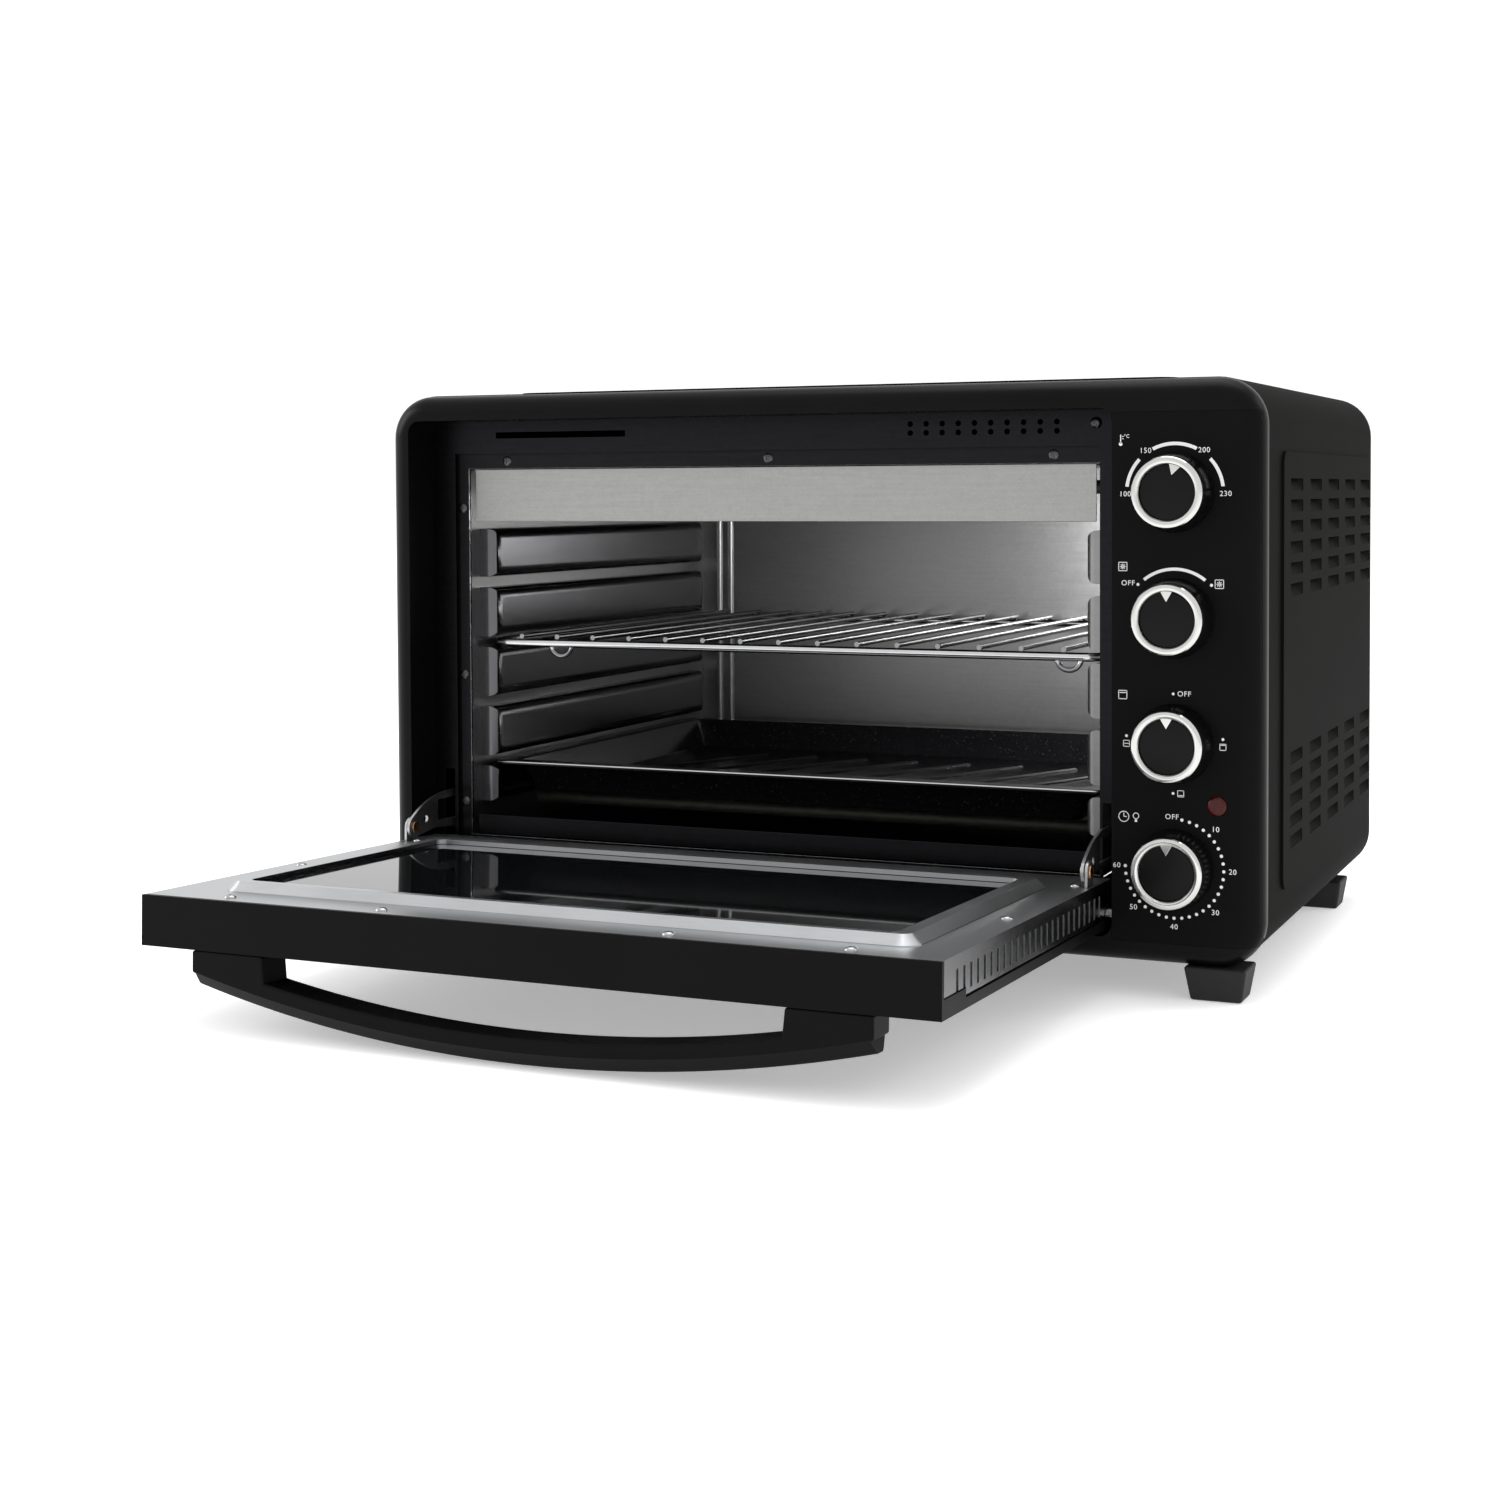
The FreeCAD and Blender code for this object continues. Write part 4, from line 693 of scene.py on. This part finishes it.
def carve(piece, tool):
    """Takes a tool's volume out of a piece."""
    select_only(piece)
    hollow = piece.modifiers.new("carve", "BOOLEAN")
    hollow.operation = "DIFFERENCE"
    hollow.object = tool
    bpy.ops.object.modifier_apply(modifier=hollow.name)
    bpy.data.objects.remove(tool)


def islands(node):
    """The middle, lowest and highest corner of each separate solid of a node."""
    mesh = nodes[node].data
    seat = {}
    for point in mesh.vertices:
        key = tuple(round(c / (0.01 * MM)) for c in point.co)
        seat.setdefault(key, []).append(point.index)
    parent = list(range(len(mesh.vertices)))

    def root(i):
        while parent[i] != i:
            parent[i] = parent[parent[i]]
            i = parent[i]
        return i

    for same in seat.values():
        for other in same[1:]:
            parent[root(other)] = root(same[0])
    for face in mesh.polygons:
        for other in face.vertices[1:]:
            parent[root(other)] = root(face.vertices[0])
    groups = {}
    for point in mesh.vertices:
        groups.setdefault(root(point.index), []).append(point.co)
    found = []
    for points in groups.values():
        low = Vector(min(p[i] for p in points) for i in range(3))
        high = Vector(max(p[i] for p in points) for i in range(3))
        found.append(((low + high) / 2, low, high))
    return found


def screws(node, facing, name, material):
    """Detailed screws in place of a node's plain heads. facing turns a forward screw."""
    heads = []
    for middle, low, high in islands(node):
        size = high - low
        height = min(size)
        head = cross_screw(max(size) / 2, height)
        turn = Matrix.Rotation(0.7 * len(heads), 4, "Y")
        seat = facing @ Matrix.Translation((0, height / 2, 0))
        head.data.transform(Matrix.Translation(middle) @ seat @ turn)
        heads.append(head)
    piece = joined(heads)
    tidy_mesh(piece)
    return finish_as(piece, name, body_of(node), material, [node], 40)


FORWARD = Matrix.Identity(4)
BACKWARD = Matrix.Rotation(math.pi, 4, "Z")
UPWARD = Matrix.Rotation(math.radians(hinge["range_deg"][1]) + math.pi, 4, "X")


# ---------------------------------------------------------------- fascia


def fascia():
    refined("fascia_ring", RING, 0.5 * MM)
    refined("control_panel", PANEL, 0.3 * MM)
    sheet = refined("front_plate", BLACK_SHEET_AND_SHADE, 0.4 * MM)
    second_finish(sheet, SCREW, mouth_edge)
    refined("indicator_lens", LENS, 0.2 * MM)
    refined("hinge_pins", SCREW, 0.3 * MM)


def stated_opening(name):
    """The low and high corners of an opening stated in the record."""
    for opening in frame["record"]["physics"]["openings"]:
        if opening["name"] == name:
            low, high = opening["box_m"]
            return Vector(low), Vector(high)
    raise KeyError(name)


MOUTH = stated_opening("cavity_mouth")


def mouth_edge(face):
    """Whether a face of the front sheet is the bare cut edge round the mouth."""
    low, high = MOUTH
    reach = 1.5 * MM
    middle = face.center
    within_width = low.x - reach < middle.x < high.x + reach
    within_height = low.z - reach < middle.z < high.z + reach
    return within_width and within_height and abs(face.normal.y) < 0.95


def second_finish(piece, material, wanted):
    """Gives the faces that the test accepts a second material."""
    piece.data.materials.append(material)
    for face in piece.data.polygons:
        if wanted(face):
            face.material_index = len(piece.data.materials) - 1


REST_TURNS = {"temperature": math.radians(17), "fan": 0, "mode": 0, "timer": 0}


def knob_pieces(name):
    """A lathe-turned cap and its bright ring, drawn at the rest position."""
    low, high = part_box("ring_" + name)
    shell_low, shell_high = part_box("knob_" + name)
    centre = (shell_low + shell_high) / 2
    front, seat = low.y, high.y
    back = shell_high.y
    x, z = centre.x, centre.z

    def at(radius, y):
        return (x + radius * MM, y, z)

    cap = turned(
        [
            at(0, front + 2.0 * MM), at(13.6, front + 2.0 * MM), at(14.3, front + 2.4 * MM),
            at(14.4, seat), at(18.3, seat), at(18.7, seat + 0.5 * MM), at(19.6, seat + 5 * MM),
            at(20.5, back - 1.6 * MM), at(20.9, back - 1.0 * MM), at(20.9, back), at(18.6, back),
            at(17.0, front + 8 * MM), at(6.0, front + 8 * MM), at(6.0, back), at(0, back),
        ],
        (x, 0, z), (0, 1, 0), 72,
    )
    finish_as(cap, "cap_" + name, name + "_knob", KNOB, ["knob_" + name])
    ring = turned(
        [
            at(14.6, seat), at(14.6, front + 0.9 * MM), at(15.1, front + 0.25 * MM), at(15.9, front),
            at(17.2, front), at(18.1, front + 0.3 * MM), at(18.6, front + 1.0 * MM), at(18.6, seat),
            at(14.6, seat),
        ],
        (x, 0, z), (0, 1, 0), 72,
    )
    mark_y = front + 0.7 * MM
    half_mark = 3.4 * MM
    mark_top = z + 15.1 * MM
    mark = plate(
        [(x - half_mark, mark_y, mark_top), (x, mark_y, z + 9.2 * MM), (x + half_mark, mark_y, mark_top)],
        (0, 1.2 * MM, 0),
    )
    soften(mark, 0.2 * MM)
    turn = Matrix.Translation((x, 0, z)) @ Matrix.Rotation(REST_TURNS[name], 4, "Y")
    mark.data.transform(turn @ Matrix.Translation((-x, 0, -z)))
    bezel = joined([ring, mark])
    finish_as(bezel, "bezel_" + name, name + "_knob", CHROME, ["ring_" + name])
    repaint("shaft_" + name, SCREW)


def knobs():
    for name in KNOBS:
        knob_pieces(name)


# ---------------------------------------------------------------- printing on the panel


class Print:
    """Flat white marks laid on the panel's face, gathered into one piece."""

    def __init__(self):
        low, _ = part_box("control_panel")
        self.y = low.y - 0.04 * MM
        self.marks = []

    def spot(self, x, z):
        return (x * MM, self.y, z * MM)

    def dot(self, x, z, radius):
        self.marks.append(disc(self.spot(x, z), radius * MM, 16))

    def word(self, x, z, text, size):
        select_nothing()
        bpy.ops.object.text_add(location=(0, 0, 0))
        letters = bpy.context.object
        letters.data.body = text
        letters.data.size = size * MM
        letters.data.space_character = 1.12
        letters.data.align_x = "CENTER"
        letters.data.align_y = "CENTER"
        letters.data.resolution_u = 3
        select_only(letters)
        bpy.ops.object.convert(target="MESH")
        letters = bpy.context.object
        upright = Matrix.Rotation(math.pi / 2, 4, "X")
        letters.data.transform(Matrix.Translation(self.spot(x, z)) @ upright)
        self.marks.append(letters)

    def arc(self, x, z, radius, width, start, end):
        """A band about a point, from one angle to another, clockwise from the top."""
        bottom = (x * MM, self.y, (z + radius - width / 2) * MM)
        top = (x * MM, self.y, (z + radius + width / 2) * MM)
        band = trace([bottom, top])
        band.data.transform(about(self.spot(x, z), start))
        open_edit(band, "VERT")
        bpy.ops.mesh.select_all(action="SELECT")
        steps = max(3, round((end - start) / 5))
        bpy.ops.mesh.spin(
            steps=steps, angle=math.radians(end - start), center=self.spot(x, z), axis=(0, -1, 0)
        )
        close_edit()
        self.marks.append(band)

    def bar(self, x, z, width, height, tilt=0):
        select_nothing()
        bpy.ops.mesh.primitive_plane_add(size=1, location=(0, 0, 0), rotation=(math.pi / 2, 0, 0))
        strip = bpy.context.object
        strip.scale = (width * MM, height * MM, 1)
        apply_place(strip)
        turn = Matrix.Rotation(math.radians(tilt), 4, "Y")
        strip.data.transform(Matrix.Translation(self.spot(x, z)) @ turn)
        self.marks.append(strip)

    def outline_box(self, x, z, size, line=0.35):
        for side in (-1, 1):
            self.bar(x + side * size / 2, z, line, size + line)
            self.bar(x, z + side * size / 2, size + line, line)

    def fan_sign(self, x, z, size):
        self.outline_box(x, z, size)
        for tilt in (0, 45, 90, 135):
            self.bar(x, z, size * 0.68, 0.4, tilt)
        self.dot(x, z, 0.55)

    def finish(self):
        piece = joined(self.marks)
        open_edit(piece, "VERT")
        bpy.ops.mesh.select_all(action="SELECT")
        bpy.ops.mesh.remove_doubles(threshold=0.002 * MM)
        close_edit()
        return finish_as(piece, "panel_print", "cabinet", INK)


def about(point, degrees):
    """A clockwise turn, seen from the front, about a point on the panel."""
    return (
        Matrix.Translation(point)
        @ Matrix.Rotation(math.radians(degrees), 4, "Y")
        @ Matrix.Translation(-Vector(point))
    )


def around(x, z, radius, degrees):
    """A place at an angle clockwise from the top of a dial."""
    angle = math.radians(degrees)
    return x + radius * math.sin(angle), z + radius * math.cos(angle)


def dial_centres():
    centres = {}
    for name in KNOBS:
        low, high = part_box("shaft_" + name)
        centres[name] = ((low.x + high.x) / 2 / MM, (low.z + high.z) / 2 / MM)
    return centres


# The panel's marks are placed in millimetres from the middle of their dial.
DIAL = 26
FIGURE = 3.9
SIGN = 4.4


def thermometer_sign(ink, x, z):
    ink.bar(x, z, 0.5, 4.6)
    ink.dot(x, z - 2.6, 0.95)
    ink.bar(x + 1.2, z + 1.4, 0.9, 0.35)
    ink.bar(x + 1.2, z + 0.2, 0.9, 0.35)
    ink.word(x + 3.2, z + 1.4, "°C", 2.6)


def temperature_scale(ink, x, z):
    for start, end in ((-83, -47), (-27, 27), (47, 83)):
        ink.arc(x, z, DIAL - 0.6, 1.8, start, end)
    figures = (("100", -26.2, -0.8), ("150", -15.4, 21.8), ("200", 15.4, 21.8), ("230", 26.6, -0.8))
    for text, right, up in figures:
        ink.word(x + right, z + up, text, FIGURE)
    thermometer_sign(ink, x - 28.6, z + 28)


def fan_scale(ink, x, z):
    ink.arc(x, z, DIAL - 0.4, 1.6, -39, 39)
    ink.fan_sign(x - 27.4, z + 26.7, SIGN)
    ink.word(x - 24.6, z + 18, "OFF", FIGURE)
    for degrees in (-48, 48):
        ink.dot(*around(x, z, DIAL, degrees), 0.8)
    ink.fan_sign(x + 23.4, z + 18, SIGN)


def mode_scale(ink, x, z):
    """OFF at the top and, at the other three positions, a dot beside a box with a bar in it."""
    side, box, line = DIAL - 0.6, 3.2, 0.35
    ink.outline_box(x - 27.4, z + 24.8, SIGN)
    ink.bar(x - 27.4, z + 25.9, 3.4, 0.4)
    ink.dot(x - 0.6, z + DIAL, 0.75)
    ink.word(x + 5.2, z + DIAL, "OFF", FIGURE)
    for direction in (-1, 1):
        ink.dot(x + direction * side, z + 3.2, 0.75)
        ink.outline_box(x + direction * side, z - 0.8, box)
    ink.bar(x - side, z - 0.8, 2.4, line)
    ink.bar(x + side, z + 0.2, 2.4, line)
    ink.dot(x - 0.6, z - DIAL, 0.75)
    ink.outline_box(x + 3.4, z - DIAL, box)
    ink.bar(x + 3.4, z - DIAL - 0.9, 2.4, line)


def clock_sign(ink, x, z):
    ink.arc(x, z, 2.7, 0.35, 0, 360)
    ink.bar(x, z + 1, 0.35, 2.0)
    ink.bar(x + 0.8, z, 1.6, 0.35)


def lamp_sign(ink, x, z):
    ink.arc(x, z, 1.5, 0.35, 0, 360)
    ink.bar(x, z - 2.5, 1.2, 1.3)


def timer_scale(ink, x, z):
    """Thirty dots nine degrees apart, with a figure at every tenth minute."""
    clock_sign(ink, x - 26.8, z + 26)
    lamp_sign(ink, x - 20.3, z + 26.6)
    ink.word(x - 1.2, z + 27, "OFF", FIGURE)
    for step in range(1, 31):
        ink.dot(*around(x, z, DIAL, 9 * step), 0.86)
    for tens in range(1, 7):
        ink.word(*around(x, z, DIAL + 4.6, 45 * tens), str(10 * tens), FIGURE)


def panel_print():
    ink = Print()
    centres = dial_centres()
    temperature_scale(ink, *centres["temperature"])
    fan_scale(ink, *centres["fan"])
    mode_scale(ink, *centres["mode"])
    timer_scale(ink, *centres["timer"])
    ink.finish()


# ---------------------------------------------------------------- cavity


RIB_REACH = 12 * MM
TOP_LEDGE = 212.4 * MM
LEDGE_PITCH = 36.8 * MM
LEDGES = 4


def pressed_rib(low, high, inner_side):
    """One pressed guide rib: a block with lens-shaped ends and soft long edges."""
    rib = block(low, high)
    centre_x = (low[0] + high[0]) / 2
    tip = (high[0] - low[0]) / 2 - 0.01 * MM
    pick_edges(rib, lambda middle: (middle.x - centre_x) * inner_side > tip)
    bevel_picked(6.5 * MM, 6)
    return rib


def cavity_wall(node, inner_side):
    """A cavity side with its five pressed ribs. inner_side is +1 where they point to +X."""
    low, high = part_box(node)
    if inner_side > 0:
        rib_tip, face = high.x, high.x - RIB_REACH
    else:
        rib_tip, face = low.x, low.x + RIB_REACH
    sheet_x = sorted((face, face - inner_side * 0.8 * MM))
    sheet = block((sheet_x[0], low.y, low.z), (sheet_x[1], high.y, high.z))
    levels = [TOP_LEDGE - LEDGE_PITCH * row for row in range(LEDGES)]
    half_gap = 3.3 * MM
    tops = [levels[0] + 32.8 * MM] + [level - half_gap for level in levels]
    bottoms = [level + half_gap for level in levels] + [levels[-1] - 24.8 * MM]
    rib_x = sorted((face - inner_side * 0.7 * MM, rib_tip))
    front, back = low.y + 10 * MM, high.y - 22 * MM
    ribs = [
        pressed_rib((rib_x[0], front, bottom), (rib_x[1], back, top), inner_side)
        for top, bottom in zip(tops, bottoms)
    ]
    return joined([sheet, *ribs])


def cavity():
    # The left wall and its ribs take the shaded zinc, a darker copy of the right wall's sheet: painted
    # shade. Only the flat face of its sheet takes the rear zinc.
    left = cavity_wall("cavity_left_wall", 1)
    finish_as(left, "cavity_side_left", "cabinet", SHADED_ZINC, ["cavity_left_wall"], 50)
    sheet_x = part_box("cavity_left_wall")[1].x - RIB_REACH
    second_finish(left, REAR_ZINC, lambda face: abs(face.center.x - sheet_x) < 0.1 * MM)
    right = cavity_wall("cavity_right_wall", -1)
    finish_as(right, "cavity_side_right", "cabinet", REAR_ZINC, ["cavity_right_wall"], 50)
    refined("cavity_top", BLACK_SHEET_AND_SHADE, 0.2 * MM)
    refined("cavity_floor", BLACK_SHEET_AND_SHADE, 0.2 * MM)
    refined("cavity_back", REAR_ZINC, 0.3 * MM)
    refined("upper_deflector", ZINC, 0.3 * MM)
    refined("lower_deflector", BLACK_SHEET_AND_SHADE, 0.3 * MM)
    for node in ("upper_heaters", "lower_heaters"):
        repaint(node, TUBE)
    refined("heater_insulators", CERAMIC, 0.6 * MM)
    refined("lamp_cover", BULB, 0)
    refined("lamp_bulb", BULB, 0)
    screws("cavity_screws", FORWARD, "front_screws", DARK_SCREW)
    screws("case_screws", BACKWARD, "rear_screws", DARK_SCREW)


def rack_and_tray():
    rails = refined("rack_frame", RAIL_CHROME_AND_HIGHLIGHT, 0)
    under_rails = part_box("rack_frame")[1].z - 6 * MM
    # The frame's faces below this level, and all the wires, take the darker copy of the rail chrome:
    # painted shade.
    second_finish(rails, SHADED_WIRE_CHROME, lambda face: face.center.z < under_rails)
    refined("rack_wires", SHADED_WIRE_CHROME, 0)
    pan = refined("baking_tray", ENAMEL, 0.9 * MM, 3)
    low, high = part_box("baking_tray")
    # The upward faces along the tray's front rim take the bright rail chrome: a painted highlight on the
    # enamel.
    lit_rim_front = low.y + 1 * MM
    second_finish(pan, RAIL_CHROME_AND_HIGHLIGHT, lambda face: face.center.y < lit_rim_front and face.normal.z > 0.1)
    floor = low.z + 1.2 * MM
    middle_y = (low.y + high.y) / 2
    first_x = low.x + 48 * MM
    ridge_pitch = 37 * MM
    slant = math.radians(-24)
    ridges = []
    for i in range(9):
        x = first_x + ridge_pitch * i
        ridge = rod("y", (x, middle_y, floor - 2.2 * MM), 190 * MM, 3.6 * MM, 24)
        ridge.data.transform(
            Matrix.Translation((x, middle_y, 0))
            @ Matrix.Rotation(slant, 4, "Z")
            @ Matrix.Translation((-x, -middle_y, 0))
        )
        cut_below(ridge, floor - 0.4 * MM)
        ridges.append(ridge)
    finish_as(joined(ridges), "tray_ridges", "tray", ENAMEL)


def cut_below(piece, level):
    """Slices off what lies under a level and closes the cut."""
    open_edit(piece, "VERT")
    bpy.ops.mesh.select_all(action="SELECT")
    bpy.ops.mesh.bisect(
        plane_co=(0, 0, level), plane_no=(0, 0, 1), clear_inner=True, use_fill=True
    )
    close_edit()


# ---------------------------------------------------------------- works behind the panel


def works():
    repaint("control_bracket", ZINC)
    for node in ("thermostat", "fan_switch", "mode_switch", "timer"):
        refined(node, HOUSING, 0.8 * MM)
    refined("timer_bell", SCREW, 0.4 * MM)
    refined("fan_chamber", ZINC, 0.3 * MM)
    refined("fan_motor", ZINC, 0.6 * MM)
    refined("fan_blade", ZINC, 0.1 * MM, 1)


def coil_spring(low, high):
    """A close-wound spring with a straight tail at each end, along Y between two corners."""
    x, z = (low.x + high.x) / 2, (low.z + high.z) / 2
    radius = (high.z - low.z) / 2 - 0.7 * MM
    turns = 40
    steps = 14
    front, back = low.y + 8 * MM, high.y - 8 * MM
    select_nothing()
    bpy.ops.curve.primitive_nurbs_path_add(location=(0, 0, 0))
    coil = bpy.context.object
    spline = coil.data.splines[0]
    points = [(x, low.y, z), (x, low.y + 5 * MM, z)]
    for i in range(turns * steps + 1):
        angle = math.tau * i / steps
        y = front + (back - front) * i / (turns * steps)
        points.append((x + radius * math.sin(angle), y, z + radius * math.cos(angle)))
    points += [(x, high.y - 5 * MM, z), (x, high.y, z)]
    spline.points.add(len(points) - len(spline.points))
    for target, place in zip(spline.points, points):
        target.co = (*place, 1)
    spline.order_u = 3
    spline.use_endpoint_u = True
    spline.resolution_u = 1
    coil.data.bevel_depth = 0.6 * MM
    coil.data.bevel_resolution = 1
    coil.data.use_fill_caps = True
    select_only(coil)
    bpy.ops.object.convert(target="MESH")
    return bpy.context.object


def springs():
    coils = [coil_spring(low, high) for _, low, high in islands("arm_springs")]
    piece = finish_as(joined(coils), "spring_coils", "cabinet", SCREW, ["arm_springs"], 60)
    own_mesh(piece)


# ---------------------------------------------------------------- door


def door():
    refined("door_frame", DOOR, 0.7 * MM, 3)
    liner = refined("door_liner", SATIN, 0.5 * MM, 3)
    # The liner's side walls take the shaded zinc, a darker copy of the same sheet: painted shade.
    second_finish(liner, SHADED_ZINC, lambda face: abs(face.normal.x) > 0.98)
    # The liner's downward faces take the near-black sheet: painted shade.
    second_finish(liner, BLACK_SHEET_AND_SHADE, lambda face: face.normal.z < -0.9)
    refined("door_glass", PANE, 0.4 * MM)
    refined("glass_seal", SEAL, 0.6 * MM)
    refined("arm_brackets", SATIN, 0.2 * MM)
    refined("hinge_rivets", RIVET, 0.4 * MM)
    refined("arm_left", SATIN, 0.25 * MM)
    refined("arm_right", SATIN, 0.25 * MM)
    screws("door_screws", UPWARD, "liner_screws", SCREW)
    repaint("handle_screws", SCREW)


def closed_box(node):
    """A door node's box once the door is swung shut."""
    shut = OPEN.inverted()
    points = [shut @ point.co for point in nodes[node].data.vertices]
    low = Vector(min(p[i] for p in points) for i in range(3))
    high = Vector(max(p[i] for p in points) for i in range(3))
    return low, high


def handle():
    """A bow swept in two halves between two end feet, with its outer edges cut away."""
    low, high = closed_box("handle")
    middle = (low.x + high.x) / 2
    half = (high.x - low.x) / 2
    face, reach = high.y, low.y
    bottom, top = low.z, high.z
    sag = 22.5 * MM
    radius = (half ** 2 + sag ** 2) / (2 * sag)
    inner = reach + 13.5 * MM
    section = [
        (middle, inner, bottom + 1 * MM),
        (middle, inner, top - 1 * MM),
        (middle, inner - 1 * MM, top - 0.1 * MM),
        (middle, inner - 6.5 * MM, top - 0.1 * MM),
        (middle, reach + 1.2 * MM, top - 5.5 * MM),
        (middle, reach, top - 7 * MM),
        (middle, reach, bottom + 7 * MM),
        (middle, reach + 1.2 * MM, bottom + 5.5 * MM),
        (middle, inner - 6.5 * MM, bottom + 0.1 * MM),
        (middle, inner - 1 * MM, bottom + 0.1 * MM),
    ]
    centre = (middle, reach + radius, 0)
    sweep = math.asin((half - 0.4 * MM) / radius)
    parts = []
    for side in (-1, 1):
        bar = trace(section, closed=True)
        open_edit(bar, "VERT")
        bpy.ops.mesh.select_all(action="SELECT")
        bpy.ops.mesh.spin(steps=20, angle=side * sweep, center=centre, axis=(0, 0, 1))
        close_edit()
        parts.append(bar)
    crease = reach + 6.5 * MM
    for side in (-1, 1):
        outer = middle + side * half
        foot_outline = [
            (outer, face, bottom),
            (outer, crease + sag, bottom),
            (outer - side * 24 * MM, crease + 16.9 * MM, bottom),
            (outer - side * 44 * MM, crease + 12.8 * MM, bottom),
            (outer - side * 42 * MM, face, bottom),
        ]
        foot = plate(foot_outline, (0, 0, top - bottom))
        soften(foot, 1.2 * MM, 3)
        parts.append(foot)
    piece = joined(parts)
    tidy_mesh(piece)
    swing_open(piece)
    finish_as(piece, "bow_handle", "door", DOOR, ["handle"], 28)


# ---------------------------------------------------------------- studio


def studio():
    select_nothing()
    bpy.ops.mesh.primitive_plane_add(size=60, location=(0, 0, -0.2 * MM))
    floor = bpy.context.object
    floor.name = "floor"
    pale = Finish("pale_floor", Specular_IOR_Level=0.05, Emission_Strength=0.38)
    cloud = pale.noise(1.5, 2)
    pale.feed(
        Base_Color=pale.tint(cloud, (0.90, 0.90, 0.90), (0.92, 0.92, 0.92)),
        Roughness=pale.spread(cloud, 0.75, 0.85),
    )
    floor.data.materials.append(pale.material)
    world = bpy.data.worlds.new("studio")
    bpy.context.scene.world = world
    world.use_nodes = True
    backdrop = world.node_tree.nodes["Background"]
    backdrop.inputs["Color"].default_value = (1, 1, 1, 1)
    backdrop.inputs["Strength"].default_value = 1.08
    area_light("overhead", (0.1, 0.2, 2.0), (0, 0, 0), 1.4, 14)
    area_light("left_bank", (-2.0, -0.6, 1.0), (0, 0, 0.15), 1.0, 16)
    area_light("right_bank", (2.0, 1.0, 1.6), (0.1, 0.1, 0.25), 0.6, 5)
    area_light("oven_glow", (0.13, 0.10, 0.25), (0.12, 0.30, 0.20), 0.05, 1.5)


def area_light(name, place, target, size, power):
    light = bpy.data.lights.new(name, "AREA")
    light.size = size
    light.energy = power
    lamp = bpy.data.objects.new(name, light)
    bpy.context.scene.collection.objects.link(lamp)
    lamp.location = place
    lamp.rotation_euler = (Vector(target) - Vector(place)).to_track_quat("-Z", "Y").to_euler()


def camera():
    """Stands off to the right at table height and looks in across the open door."""
    lens = bpy.data.cameras.new("view")
    lens.lens = 53.8
    lens.sensor_width = 36
    lens.shift_x = -0.0097
    lens.shift_y = -0.1207
    lens.clip_start = 0.01
    eye = bpy.data.objects.new("view", lens)
    bpy.context.scene.collection.objects.link(eye)
    yaw, pitch, roll = 0.4175, 0.0346, -0.005
    eye.matrix_world = (
        Matrix.Translation((0.4951, -1.2097, 0.2674))
        @ Matrix.Rotation(yaw, 4, "Z")
        @ Matrix.Rotation(math.pi / 2 - pitch, 4, "X")
        @ Matrix.Rotation(roll, 4, "Z")
    )
    bpy.context.scene.camera = eye
    bpy.context.scene.view_settings.view_transform = "Standard"


casing()
louvres()
fascia()
knobs()
panel_print()
cavity()
rack_and_tray()
works()
springs()
door()
handle()
studio()
camera()
